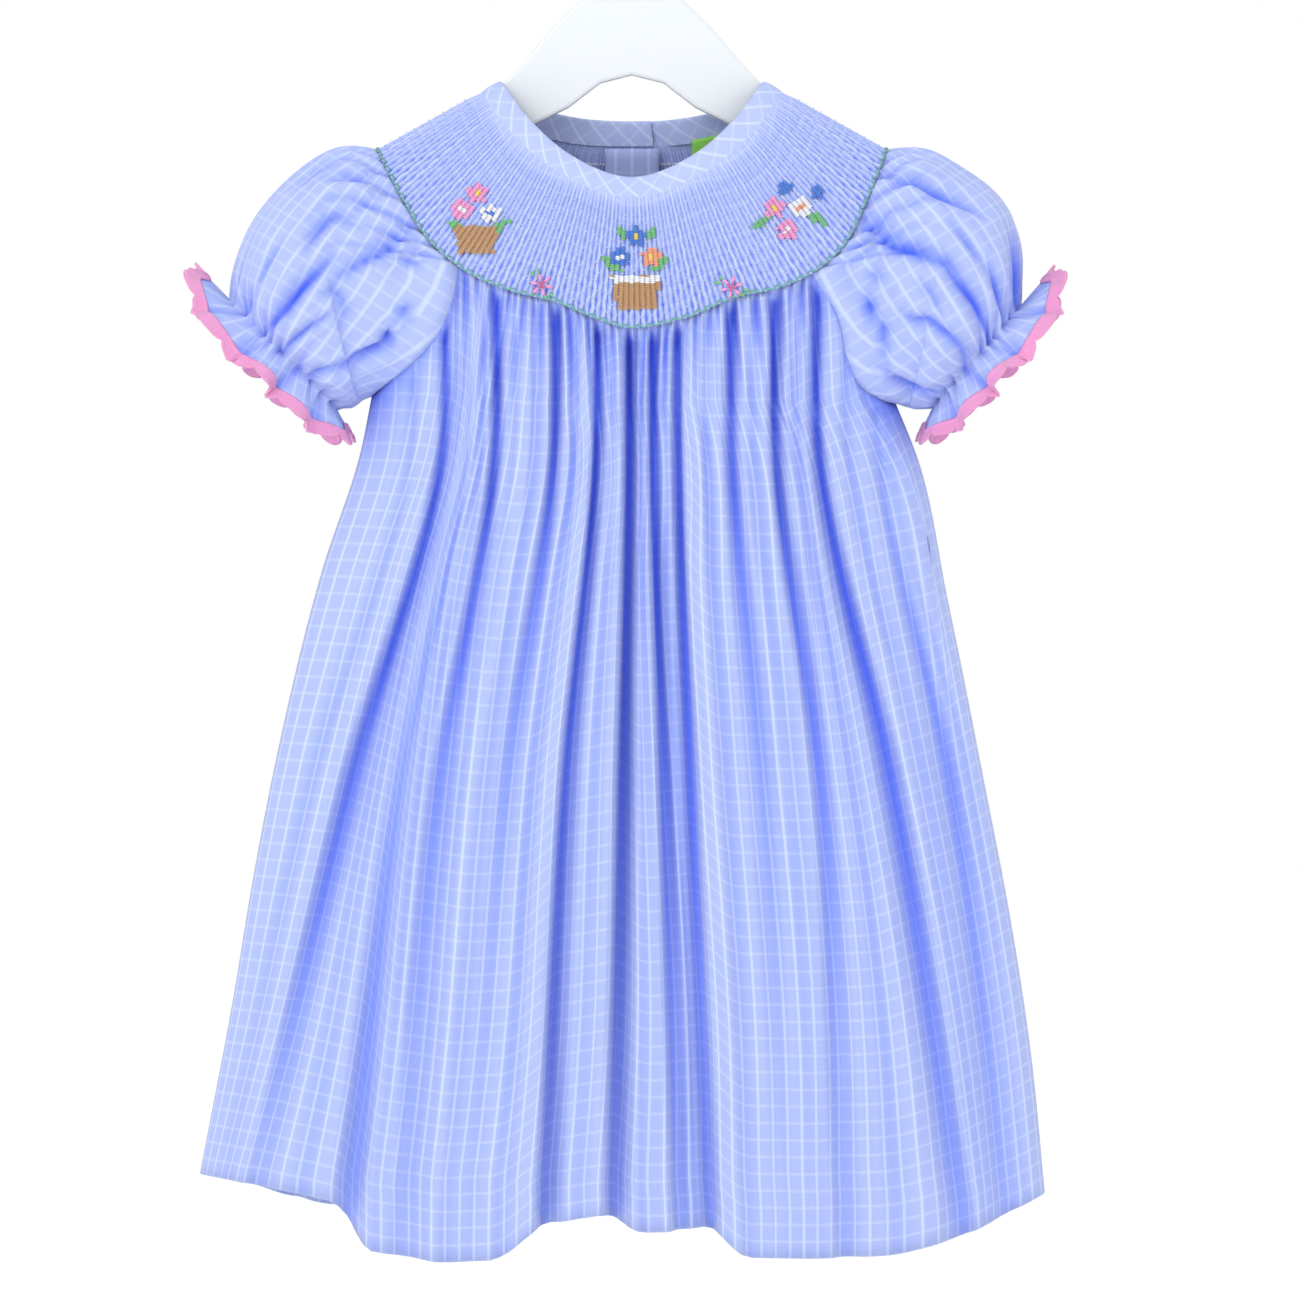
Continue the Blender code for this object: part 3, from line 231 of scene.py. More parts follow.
# Puff sleeves: sections from the seam to the elastic, with their top and bottom points
SLEEVE_LEFT = (
    Section(0.16, -136.5, 29.8, -127.5, 149.5, 39.0),
    Section(0.38, -159.0, 41.0, -130.5, 151.5, 43.0),
    Section(0.62, -180.0, 63.5, -134.0, 153.5, 42.0),
    Section(0.84, -190.0, 88.0, -138.0, 153.5, 33.0),
    Section(1.00, -191.0, 102.5, -141.5, 153.0, 21.0),
)
SLEEVE_RIGHT = (
    Section(0.16, 136.5, 30.5, 129.5, 152.8, 39.0),
    Section(0.38, 156.0, 38.5, 132.5, 153.6, 43.0),
    Section(0.62, 177.0, 55.5, 136.0, 154.3, 42.0),
    Section(0.84, 186.5, 81.0, 140.5, 153.8, 33.0),
    Section(1.00, 185.5, 104.5, 144.0, 152.2, 21.0),
)

# Creases of the sleeves: depth, half width and path of (x, drop) places, seen from the front
CREASES_LEFT = (
    Crease(3.0, 2.6, ((-118.0, 41.5), (-129.8, 44.7), (-145.5, 47.0))),
    Crease(2.6, 2.2, ((-114.0, 50.5), (-125.0, 56.4), (-133.0, 64.0))),
    Crease(5.0, 4.2, ((-131.7, 66.1), (-139.5, 62.7), (-144.4, 65.1), (-150.2, 72.9), (-154.2, 80.7))),
    Crease(8.0, 3.6, ((-139.5, 83.5), (-147.3, 90.4), (-155.1, 98.2), (-162.9, 107.9), (-169.7, 113.8),
                      (-176.5, 120.6))),
    Crease(4.6, 2.0, ((-140.5, 110.2), (-148.3, 115.7), (-160.9, 124.5), (-169.7, 133.2))),
    Crease(5.6, 3.6, ((-100.6, 64.1), (-110.4, 72.9), (-117.2, 80.7), (-127.9, 86.5), (-137.6, 93.3),
                      (-140.5, 98.2))),
    Crease(4.6, 2.6, ((-100.6, 79.7), (-107.0, 88.5), (-111.4, 95.4))),
    Crease(7.0, 2.6, ((-101.6, 102.1), (-106.5, 109.9), (-112.3, 119.6), (-118.1, 127.4), (-129.8, 132.2),
                      (-139.6, 139.1))),
    Crease(4.0, 2.2, ((-179.8, 97.1), (-181.4, 104.1), (-183.3, 112.8))),
    Crease(3.6, 2.4, ((-137.6, 136.1), (-146.5, 138.0), (-157.1, 141.0))),
    Crease(3.4, 2.8, ((-146.5, 100.1), (-138.6, 102.1), (-134.7, 108.9), (-137.6, 116.7))),
    Crease(3.0, 2.4, ((-165.9, 76.8), (-172.7, 86.6), (-177.5, 97.3))),
    Crease(2.4, 2.6, ((-133.7, 36.0), (-148.3, 40.8), (-160.9, 50.6))),
)
CREASES_RIGHT = (
    Crease(6.0, 3.0, ((117.2, 40.3), (125.2, 45.3), (132.2, 45.3), (143.3, 51.3), (155.3, 57.3),
                      (165.3, 63.3))),
    Crease(8.0, 4.6, ((106.2, 59.3), (115.2, 68.3), (123.2, 76.4), (132.2, 79.4), (139.3, 83.4),
                      (149.3, 86.4))),
    Crease(7.4, 3.4, ((146.3, 82.4), (153.3, 95.4), (161.3, 105.4), (166.3, 114.5), (171.3, 124.5))),
    Crease(6.4, 2.2, ((168.3, 86.4), (173.4, 100.4), (177.4, 115.5))),
    Crease(7.0, 4.4, ((181.4, 70.4), (184.4, 86.4), (184.4, 98.4), (182.4, 111.5))),
    Crease(4.4, 3.0, ((112.2, 88.4), (118.2, 96.4), (121.2, 104.4))),
    Crease(6.4, 3.2, ((100.1, 88.4), (108.2, 102.4), (114.2, 112.5), (119.2, 121.5), (118.2, 134.5))),
    Crease(5.0, 3.0, ((126.2, 108.5), (133.2, 115.0), (139.3, 114.5), (149.3, 122.5), (160.3, 131.5))),
    Crease(5.0, 2.6, ((116.2, 136.5), (124.2, 142.6), (137.2, 148.6), (146.3, 147.6))),
    Crease(3.6, 2.6, ((150.3, 66.3), (158.3, 76.4), (166.3, 88.4))),
    Crease(3.0, 2.4, ((104.2, 70.4), (110.2, 80.4), (113.2, 86.4))),
    Crease(3.0, 2.6, ((135.2, 94.4), (141.2, 102.4), (146.3, 112.5))),
)


def smooth(knots, values, at):
    """Cubic curve through the values at the knots; works on rows of numbers as well."""
    knots = np.asarray(knots, dtype=float)
    values = np.asarray(values, dtype=float)
    slopes = np.gradient(values, knots, axis=0)
    at = np.clip(at, knots[0], knots[-1])
    low = np.clip(np.searchsorted(knots, at, side="right") - 1, 0, len(knots) - 2)
    span = knots[low + 1] - knots[low]
    f = (at - knots[low]) / span
    return (values[low] * (1 + 2 * f) * (1 - f) ** 2 + values[low + 1] * f * f * (3 - 2 * f)
            + slopes[low] * span * f * (1 - f) ** 2 - slopes[low + 1] * span * f * f * (1 - f))


def smooth_columns(knots, values, at):
    """The same cubic curve where every column has knots of its own."""
    steps = np.diff(knots, axis=0)
    rises = np.diff(values, axis=0) / steps
    inner = (rises[:-1] * steps[1:] + rises[1:] * steps[:-1]) / (steps[1:] + steps[:-1])
    slopes = np.concatenate([rises[:1], inner, rises[-1:]])
    at = np.clip(at, knots[0], knots[-1])
    low = np.zeros(at.shape, dtype=int)
    for knot in knots[1:-1]:
        low += at >= knot
    column = np.broadcast_to(np.arange(at.shape[1]), at.shape)
    span = steps[low, column]
    f = (at - knots[low, column]) / span
    return (values[low, column] * (1 + 2 * f) * (1 - f) ** 2 + values[low + 1, column] * f * f * (3 - 2 * f)
            + slopes[low, column] * span * f * (1 - f) ** 2
            - slopes[low + 1, column] * span * f * f * (1 - f))


def ease(value):
    """Smooth step from 0 to 1."""
    value = np.clip(value, 0.0, 1.0)
    return value * value * (3 - 2 * value)


def unit(vectors):
    """Vectors of length 1."""
    return vectors / np.maximum(np.linalg.norm(vectors, axis=-1, keepdims=True), 1e-9)


def run_lengths(points):
    """Running length along a row of points."""
    steps = np.linalg.norm(np.diff(points, axis=0), axis=1)
    return np.concatenate([[0.0], np.cumsum(steps)])


def even_curve(points, samples=160):
    """The same curve with samples at even lengths."""
    lengths = run_lengths(points)
    wanted = np.linspace(0.0, lengths[-1], samples)
    return np.column_stack([np.interp(wanted, lengths, points[:, k]) for k in range(points.shape[1])])


def half_ring(spots, depth, mirrored):
    """A quarter of a ring from the shoulder fold to the centre, rounded in y like cloth over a hanger."""
    flat = np.array([[spot.x, spot.drop] for spot in spots] + [[-spots[-2].x, spots[-2].drop]])
    knots = run_lengths(flat)
    centre = knots[-2]
    at = np.linspace(0.0, 1.0, 300) ** 2 * centre
    line = np.array([smooth(knots, flat, value) for value in at])
    toward_centre = at / centre
    y = depth * np.sqrt(np.clip(1 - (1 - toward_centre) ** 2.2, 0, 1))
    x = -line[:, 0] if mirrored else line[:, 0]
    return even_curve(np.column_stack([x, y, line[:, 1]]))


def whole_ring(front_left, front_right, back, depths):
    """Four quarters in order: back left, front left, front right, back right."""
    front_depth, back_depth = depths
    return (half_ring(back, back_depth, False)[::-1], half_ring(front_left, -front_depth, False),
            half_ring(front_right, -front_depth, True)[::-1], half_ring(back, back_depth, True))


RINGS = {
    "edge": whole_ring(NECK_EDGE_FRONT, NECK_EDGE_FRONT, NECK_EDGE_BACK, RING_DEPTHS["edge"]),
    "seam": whole_ring(NECK_SEAM_FRONT, NECK_SEAM_FRONT, NECK_SEAM_BACK, RING_DEPTHS["seam"]),
    "stitch": whole_ring(STITCH_ROW_LEFT, STITCH_ROW_RIGHT, STITCH_ROW_BACK, RING_DEPTHS["stitch"]),
}


def on_ring(name, around):
    """Points on a ring; around runs from 0 at the centre back past the left shoulder at 0.25."""
    around = np.asarray(around, dtype=float) % 1.0
    place = around * 4
    joined = np.concatenate([quarter[:-1] for quarter in RINGS[name]] + [RINGS[name][3][-1:]])
    samples = np.linspace(0.0, 4.0, len(joined))
    return np.stack([np.interp(place, samples, joined[:, k]) for k in range(3)], axis=-1)


def yoke_points(arounds, downs):
    """The smocked yoke between the neck seam and the stitch row, a little rounded outward."""
    arounds, downs = np.broadcast_arrays(np.asarray(arounds, float), np.asarray(downs, float))
    start = on_ring("seam", arounds)
    end = on_ring("stitch", arounds)
    points = start + (end - start) * downs[..., None]
    reach = start[..., 1] + end[..., 1]
    rounding = 3.0 * np.sin(np.pi * np.clip(downs, 0, 1))
    points[..., 1] += np.sign(reach) * rounding * np.minimum(abs(reach) / 60, 1)
    return points


def raglan_curve(underarm, spots, corner, mirrored=False):
    """Raglan seam from the underarm to its corner on the stitch row, at even lengths."""
    side = -1.0 if mirrored else 1.0
    points = np.array([list(underarm)] + [[side * s.x, s.y, s.drop] for s in spots] + [list(corner)])
    knots = run_lengths(points)
    dense = np.array([smooth(knots, points, value) for value in np.linspace(0, knots[-1], 120)])
    return even_curve(dense, 80)


RAGLANS = {
    "front_left": raglan_curve(UNDERARM_LEFT, RAGLAN_LEFT, on_ring("stitch", RAGLAN_FRONT_LEFT)),
    "front_right": raglan_curve(UNDERARM_RIGHT, RAGLAN_RIGHT, on_ring("stitch", RAGLAN_FRONT_RIGHT)),
    "back_left": raglan_curve(UNDERARM_LEFT, RAGLAN_BACK, on_ring("stitch", RAGLAN_BACK_LEFT)),
    "back_right": raglan_curve(UNDERARM_RIGHT, RAGLAN_BACK, on_ring("stitch", RAGLAN_BACK_RIGHT), True),
}


def along_points(curve, shares):
    """Points at shares of a curve that has even samples."""
    place = np.clip(shares, 0.0, 1.0) * (len(curve) - 1)
    return np.stack([np.interp(place, range(len(curve)), curve[:, k]) for k in range(3)], axis=-1)


def side_edges(drop):
    """x of the left and right side seams at a level."""
    sides = (SIDE_LEFT, SIDE_RIGHT)
    return tuple(smooth([s.drop for s in side], [s.x for s in side], drop) for side in sides)


def grid_normals(points, closed=False):
    """Directions square to a grid of places, as the mean of the faces round each."""
    if closed:
        points = np.concatenate([points, points[:, :1]], axis=1)
    faces = unit(np.cross(points[1:, 1:] - points[:-1, :-1], points[:-1, 1:] - points[1:, :-1]))
    faces = np.concatenate([faces[:1], faces, faces[-1:]], axis=0)
    ends = (faces[:, -1:], faces[:, :1]) if closed else (faces[:, :1], faces[:, -1:])
    faces = np.concatenate([ends[0], faces, ends[1]], axis=1)
    normals = faces[:-1, :-1] + faces[:-1, 1:] + faces[1:, :-1] + faces[1:, 1:]
    return unit(normals[:, :-1] if closed else normals)


def fold_lean(fold):
    """Which side of a fold is the steeper one: -1 to 1, uneven from fold to fold."""
    return math.sin(fold.top * 1.9 + fold.hem)


class Panel:
    """A skirt panel: raglan, stitch row and raglan along its top, folds down to the hem."""

    def __init__(self, raglans, ring_span, corners, folds, soft, gathers, hem, reach, facing):
        self.left, self.right = raglans
        self.ring_span = ring_span
        self.corners = corners
        self.folds = folds
        self.soft = soft
        self.gathers = gathers
        self.hem = hem
        self.reach = reach
        self.facing = facing
        self.along = [0.0] + [fold.along for fold in folds] + [1.0]
        self.shares = {}
        for level, name in ((LEVEL_TOP, "top"), (LEVEL_MIDDLE, "middle"), (LEVEL_HEM, "hem")):
            left, right = side_edges(level)
            inner = [(getattr(fold, name) - left) / (right - left) for fold in folds]
            self.shares[name] = [0.0] + inner + [1.0]

    def around(self, alongs):
        """Place round the yoke above each share along the panel."""
        low, high = self.corners
        share = (np.asarray(alongs) - low) / (high - low)
        first, last = self.ring_span
        return (first + (last - first) * share) % 1.0

    def boundary(self, alongs):
        """Top edge of the panel."""
        low, high = self.corners
        left = along_points(self.left, alongs / low)
        right = along_points(self.right, (1 - alongs) / (1 - high))
        arc = on_ring("stitch", self.around(alongs))
        result = np.where((alongs < low)[:, None], left, arc)
        return np.where((alongs > high)[:, None], right, result)

    def columns(self, start, end):
        """Shares along the panel, a few to each pleat under the yoke."""
        low, high = self.corners
        first, last = self.ring_span
        pleats = PLEATS * abs(last - first)
        arc = low + (high - low) * np.arange(1, int(pleats * PLEAT_COLUMNS)) / (pleats * PLEAT_COLUMNS)
        shares = np.concatenate([np.linspace(0, low, RAGLAN_COLUMNS + 1), arc,
                                 np.linspace(high, 1, RAGLAN_COLUMNS + 1)])
        inside = shares[(shares > start + 1e-4) & (shares < end - 1e-4)]
        return np.concatenate([[start], inside, [end]])

    def push_of(self, fold, drop, x):
        """How far one fold pushes the cloth in, and the painted shade in and beside its trough."""
        levels = (LEVEL_TOP, LEVEL_MIDDLE, LEVEL_HEM)
        centre = smooth((LEVEL_TOP - 60.0,) + levels, (fold.top, fold.top, fold.middle, fold.hem), drop)
        depth = np.interp(drop, levels, (fold.top_depth, fold.middle_depth, fold.hem_depth))
        width = fold.width * np.interp(drop, levels, (0.42, 0.88, 1.05))
        width = np.maximum(width, np.sqrt(0.7 * depth))
        lean = 1.0 + 0.55 * fold_lean(fold) * np.sign(x - centre)
        apart = np.abs((x - centre) / (width * lean))
        # painted shade of the trough, fading toward the hem
        shade = np.clip(depth / 13.0, 0, 1) ** 0.8 * np.interp(drop, levels, (1.0, 0.78, 0.38))
        return depth * np.exp(-apart ** 2.4), shade * np.exp(-(apart / 0.62) ** 2)

    def surface(self, alongs, downs):
        """Places on the cloth and the painted shade at each, deepest in folds, for rows of downs and columns
        of alongs.
        """
        top = self.boundary(alongs)
        hem_share = smooth(self.along, self.shares["hem"], alongs)
        left, right = side_edges(LEVEL_HEM)
        hem_x = left + (right - left) * hem_share
        hem_knots = ([s.x for s in self.hem], [s.drop for s in self.hem])
        hem_drop = sum(np.interp(hem_x + aside, *hem_knots) for aside in (-4.0, 0.0, 4.0)) / 3
        drop = top[:, 2] + (hem_drop - top[:, 2]) * downs[:, None]
        below = drop - top[:, 2]
        left, right = side_edges(top[:, 2])
        share_top = (top[:, 0] - left) / (right - left)
        count = len(alongs)
        levels = np.stack([top[:, 2], np.maximum(LEVEL_TOP, top[:, 2] + 14.0),
                           np.full(count, LEVEL_MIDDLE), np.full(count, LEVEL_HEM)])
        places = np.stack([share_top, smooth(self.along, self.shares["top"], alongs),
                           smooth(self.along, self.shares["middle"], alongs), hem_share])
        share = smooth_columns(levels, places, drop)
        left, right = side_edges(drop)
        x = left + (right - left) * share
        across = np.clip(2 * share - 1, -1.0, 1.0)
        reach = np.interp(drop, [row.drop for row in self.reach], [row.y for row in self.reach])
        free = self.facing * reach * np.sqrt(1 - np.abs(across) ** 2.6)
        y = top[:, 1] + (free - top[:, 1]) * ease(below / 55.0)
        push = np.zeros_like(drop)
        # fold holds painted shade, darkest in the troughs of folds and gathers
        fold = np.zeros_like(drop)
        for crease in self.folds + self.soft:
            depth, shade = self.push_of(crease, drop, x)
            push += depth
            fold += shade
        push *= ease(below / 9.0)
        fold *= ease(below / 9.0)
        gathered = np.zeros_like(drop)
        boundary_x = top[:, 0]
        low, high = self.corners
        inside_arc = ease((alongs - low) / 0.02) * ease((high - alongs) / 0.02)
        for gather in self.gathers:
            apart = (boundary_x - gather.x) / gather.width
            fade = (1 - ease(below / gather.length)) * (0.45 + 0.55 * ease(below / 3.0))
            gathered += 1.2 * gather.depth * np.exp(-np.abs(apart) ** 2) * fade
            # painted shade in each gather under the stitch row
            fold += 0.18 * gather.depth * np.exp(-(apart / 0.7) ** 2) * fade * inside_arc
        gathered *= inside_arc
        pleats = np.cos(2 * np.pi * PLEATS * self.around(alongs)) * inside_arc * np.exp(-below / 5.0) * 0.7
        push += gathered - pleats
        room = np.maximum(0.8 * np.abs(y) - CLOTH, 0.01)
        y = y - self.facing * room * np.tanh(push / room)
        ripple = 0.5 * np.sin(drop / 37.0 + 9.0 * share) * np.sin(drop / 83.0 + 31.0 * share)
        y += self.facing * ripple * ease(below / 60.0) * (1 - np.abs(across) ** 4)
        fine = (np.sin(2 * np.pi * (37 * alongs + 0.35 * np.sin(10 * np.pi * alongs)))
                + 0.6 * np.sin(2 * np.pi * (61 * alongs + 0.2 * np.sin(14 * np.pi * alongs + 1.0))))
        fine = fine * ease(below / 12.0) * (0.35 + 0.65 * np.exp(-below / 190.0)) * (1 - np.abs(across) ** 6)
        y -= self.facing * FINE_WAVE * fine
        # painted shade in the fine waves
        fold += 0.10 * np.clip(fine, 0, 1.5)
        from_side = np.minimum(x - left, right - x)
        # painted shade just under the raglan seams, and a painted shadow under the sleeves beside the side
        # seams
        fold += 0.55 * np.exp(-np.maximum(below, 0) / 7.0) * (1 - inside_arc) 
        fold += 0.5 * np.exp(-from_side / 13.0) * np.exp(-((drop - 152.0) / 34.0) ** 2)
        return np.stack([x, y, drop], axis=-1), np.clip(fold, 0, 1)


FRONT_PANEL = Panel((RAGLANS["front_left"], RAGLANS["front_right"]), (RAGLAN_FRONT_LEFT, RAGLAN_FRONT_RIGHT),
                    (0.125, 0.890), FRONT_FOLDS, FRONT_SOFT, FRONT_GATHERS, HEM_FRONT, FRONT_REACH, -1.0)


def back_gathers():
    """Gathers under the back's stitch row, as uneven as the front's."""
    steps = np.arange(-96.0, 97.0, BACK_GATHER_STEP)
    uneven = 1.3 * np.sin(steps * 1.7)
    return tuple(Gather(x, 34.0 + 20.0 * math.sin(3.1 * x), 2.9 + 0.6 * math.sin(1.3 * x), 1.5)
                 for x in steps + uneven)


BACK_PANEL = Panel((RAGLANS["back_left"], RAGLANS["back_right"]), (RAGLAN_BACK_LEFT, RAGLAN_BACK_RIGHT - 1.0),
                   (0.130, 0.870), BACK_FOLDS, BACK_SOFT, back_gathers(), HEM_BACK, BACK_REACH, 1.0)


def path_push(crease, points):
    """How far a crease pushes in the places beside its path, with low ridges beside it, and its shade."""
    path = np.array(crease.path)
    lengths = run_lengths(path)
    nearest = np.full(points.shape[:2], 1e9)
    along = np.zeros(points.shape[:2])
    flat = points[..., (0, 2)]
    for start, end, begun in zip(path[:-1], path[1:], lengths[:-1]):
        span = end - start
        length = np.linalg.norm(span)
        share = np.clip(((flat - start) @ span) / length ** 2, 0, 1)
        distance = np.linalg.norm(flat - start - share[..., None] * span, axis=-1)
        closer = distance < nearest
        nearest = np.where(closer, distance, nearest)
        along = np.where(closer, (begun + share * length) / lengths[-1], along)
    taper = 0.25 + 0.75 * np.sin(np.pi * np.clip(along, 0, 1))
    apart = nearest / crease.width
    push = crease.depth * taper * (np.exp(-apart ** 1.35) - 0.26 * np.exp(-((apart - 2.1) / 0.8) ** 2))
    return push, min(crease.depth / 7.0, 1.0) * taper * np.exp(-(apart / 0.7) ** 1.8)


class Sleeve:
    """A puff sleeve lofted from its seam through sections to the elastic, then a ruffle and its edging."""

    def __init__(self, front_raglan, back_raglan, shoulder, corners, sections, creases, back_creases):
        arc = [on_ring("stitch", np.linspace(corner, shoulder, 160)) for corner in corners]
        front_half = np.concatenate([front_raglan, arc[0][1:]])
        back_half = np.concatenate([back_raglan, arc[1][1:]])
        self.raglan_share = run_lengths(front_raglan)[-1] / run_lengths(front_half)[-1]
        self.front_half = even_curve(front_half, 200)
        self.back_half = even_curve(back_half, 200)
        self.sections = sections
        self.creases = creases
        self.back_creases = back_creases
        last = sections[-1]
        self.chord = unit(np.array([last.top_x - last.bottom_x, 0.0, last.top_drop - last.bottom_drop]))
        side = math.copysign(1.0, last.top_x)
        self.axis = np.array([-self.chord[2], 0.0, self.chord[0]]) * side

    def seam(self, arounds):
        """The seam loop: 0 at the underarm, up the front, 0.5 at the shoulder, down the back."""
        front = along_points(self.front_half, arounds * 2)
        back = along_points(self.back_half, (1 - arounds) * 2)
        return np.where((arounds <= 0.5)[:, None], front, back)

    def middle_of(self, section):
        """Middle of an oval section."""
        return np.array([(section.top_x + section.bottom_x) / 2, 0.0,
                         (section.top_drop + section.bottom_drop) / 2])

    def oval(self, section, arounds):
        """An oval section."""
        turn = 2 * np.pi * arounds
        half_chord = np.array([section.top_x - section.bottom_x, 0.0,
                               section.top_drop - section.bottom_drop]) / 2
        return (self.middle_of(section) - np.cos(turn)[:, None] * half_chord
                - np.sin(turn)[:, None] * np.array([0.0, section.half_depth, 0.0]))

    def gather_wave(self, arounds):
        """Uneven wave round the elastic, from -1 to 1."""
        phase = (SLEEVE_GATHERS * arounds + 0.35 * np.sin(6 * np.pi * arounds)
                 + 0.22 * np.sin(14 * np.pi * arounds))
        return np.cos(2 * np.pi * phase) * (0.8 + 0.2 * np.sin(10 * np.pi * arounds + 1.0))

    def ruffle_wave(self, arounds):
        """Slower uneven wave of the ruffle."""
        phase = (RUFFLE_WAVES * arounds + 0.16 * np.sin(4 * np.pi * arounds)
                 + 0.1 * np.sin(10 * np.pi * arounds))
        return np.cos(2 * np.pi * phase)

    def surface(self, arounds, alongs):
        """Places on the puff and the painted shade at each, deepest in creases and gathers."""
        knots = [0.0] + [section.along for section in self.sections]
        seam = self.seam(arounds)
        ovals = [self.oval(section, arounds) for section in self.sections]
        at_underarm = np.exp(-(np.minimum(arounds, 1 - arounds) / 0.06) ** 2)
        seam = seam + unit(ovals[0] - seam) * (CLOTH * (0.05 + 0.35 * at_underarm))[:, None]
        rows = np.array([seam] + ovals)
        middles = np.array([seam] + [np.broadcast_to(self.middle_of(s), seam.shape) for s in self.sections])
        points = np.array([smooth(knots, rows, along) for along in alongs])
        inward = unit(np.array([smooth(knots, middles, along) for along in alongs]) - points)
        push = np.zeros(points.shape[:2])
        front = ease(-points[..., 1] / 10.0)
        back = ease(points[..., 1] / 10.0)
        shade = np.zeros(points.shape[:2])
        for creases, side in ((self.creases, front), (self.back_creases, back)):
            for crease in creases:
                pushed, shaded = path_push(crease, points)
                push += pushed * side
                shade += shaded * side
        half_share = np.where(arounds <= 0.5, arounds * 2, (1 - arounds) * 2)
        on_arc = ease((half_share - self.raglan_share) / 0.04)
        head = np.cos(2 * np.pi * (31 * arounds + 0.4 * np.sin(8 * np.pi * arounds)))
        reach = 0.24 + 0.11 * np.sin(18 * np.pi * arounds)
        head_fade = np.exp(-(alongs[:, None] / reach) ** 1.3) * ease(alongs[:, None] / 0.03)
        push += 1.7 * head * on_arc * head_fade
        # painted shade in the gathers at the head and at the elastic, and in the creases
        fold = 0.45 * np.clip(head, 0, 1) ** 2 * on_arc * head_fade
        pleats = np.cos(2 * np.pi * 23 * half_share)
        elastic = np.exp(-((1 - alongs[:, None]) / (0.16 + 0.05 * pleats)) ** 1.5)
        push += 2.6 * self.gather_wave(arounds) * elastic
        fold += 0.8 * np.clip(self.gather_wave(arounds), 0, 1) ** 2 * elastic + shade
        fold = np.clip(fold, 0, 1)
        return points + inward * push[..., None], fold

    def cloth_places(self, points):
        """Pattern places in metres: lines run from the elastic up to the shoulder, as the piece was cut."""
        side = math.copysign(1.0, self.sections[-1].top_x)
        along = np.array([-0.53 * side, -0.85])
        across = np.array([0.85 * side, -0.53])
        from_elastic = points[..., (0, 2)] - self.middle_of(self.sections[-1])[[0, 2]]
        turn = np.arctan2(from_elastic @ across / 58.0, -points[..., 1] / 43.0)
        turn = np.unwrap(turn, axis=1)
        return np.stack([turn * 52.0 * MM, from_elastic @ along * 1.12 * MM], axis=-1)

    def ruffle(self, arounds, outs):
        """Cloth past the elastic, and the painted shade in the hollows of its waves; outs are distances from
        the elastic.
        """
        turn = 2 * np.pi * arounds
        last = self.sections[-1]
        base = self.oval(last, arounds)
        end_share = np.cos(turn) ** 2
        top_end = np.maximum(-np.cos(turn), 0.0)
        low_end = np.maximum(np.cos(turn), 0.0)
        direction = (self.axis * (1.0 - 1.0 * top_end ** 3 - 0.75 * low_end ** 3)[:, None]
                     + self.chord * (top_end * (0.35 + 0.65 * top_end)
                                     - low_end * (0.3 + 0.65 * low_end))[:, None]
                     + np.array([0.0, -0.45, 0.0]) * np.sin(turn)[:, None])
        direction = unit(direction)
        radial = unit(base - self.middle_of(last))
        swell = np.asarray(outs) / RUFFLE_LENGTH
        if swell.ndim == 1:
            swell = swell[:, None]
        near = np.exp(-swell / 0.45)
        slow = RUFFLE_WAVE * swell * self.ruffle_wave(arounds)
        fine = self.gather_wave(arounds) * (-2.5 * near + 0.9 * (1 - near))
        wave = (slow + fine) * (1.0 - 0.62 * end_share ** 2)
        phase = 2 * np.pi * (RUFFLE_WAVES * arounds + 0.16 * np.sin(4 * np.pi * arounds + 0.6))
        rounded = 0.26 * np.exp(-((1 - top_end) / 0.05) ** 2) + 0.26 * np.exp(-((1 - low_end) / 0.05) ** 2)
        longer = 0.95 + 0.50 * top_end ** 1.5 + 0.15 * low_end - 0.14 * self.ruffle_wave(arounds) - rounded
        reach = swell * RUFFLE_LENGTH * longer
        points = base + direction * reach[..., None] + radial * wave[..., None]
        points = points + self.chord * (1.7 * swell * np.sin(phase))[..., None]
        # second value: painted shade in the hollows of the ruffle's waves
        return points, np.clip(-wave / 3.2, 0, 1) ** 1.3 * (0.6 + 0.4 * near)


def mirrored_creases(creases):
    """The same creases on the other side of the dress."""
    return tuple(Crease(c.depth, c.width, tuple((-x, drop) for x, drop in c.path)) for c in creases)


SLEEVES = {
    "left": Sleeve(RAGLANS["front_left"], RAGLANS["back_left"], 0.25, (RAGLAN_FRONT_LEFT, RAGLAN_BACK_LEFT),
                   SLEEVE_LEFT, CREASES_LEFT, mirrored_creases(CREASES_RIGHT)),
    "right": Sleeve(RAGLANS["front_right"], RAGLANS["back_right"], 0.75,
                    (RAGLAN_FRONT_RIGHT, RAGLAN_BACK_RIGHT), SLEEVE_RIGHT, CREASES_RIGHT,
                    mirrored_creases(CREASES_LEFT)),
}


# Shader helpers and the node groups of the finishes


def node_math(tree, operation, first, second=0.0, third=0.0):
    """A Math node; each input is a socket or a number."""
    node = tree.nodes.new("ShaderNodeMath")
    node.operation = operation
    for socket, value in zip(node.inputs, (first, second, third)):
        if isinstance(value, bpy.types.NodeSocket):
            tree.links.new(value, socket)
        else:
            socket.default_value = value
    return node.outputs[0]


def node_mix(tree, factor, first, second, blend="MIX"):
    """A colour Mix node; each input is a socket, a number or a colour."""
    node = tree.nodes.new("ShaderNodeMix")
    node.data_type = "RGBA"
    node.blend_type = blend
    for socket, value in ((node.inputs["Factor"], factor), (node.inputs[6], first), (node.inputs[7], second)):
        if isinstance(value, bpy.types.NodeSocket):
            tree.links.new(value, socket)
        elif isinstance(value, tuple):
            socket.default_value = (*value, 1.0)
        else:
            socket.default_value = value
    return node.outputs[2]


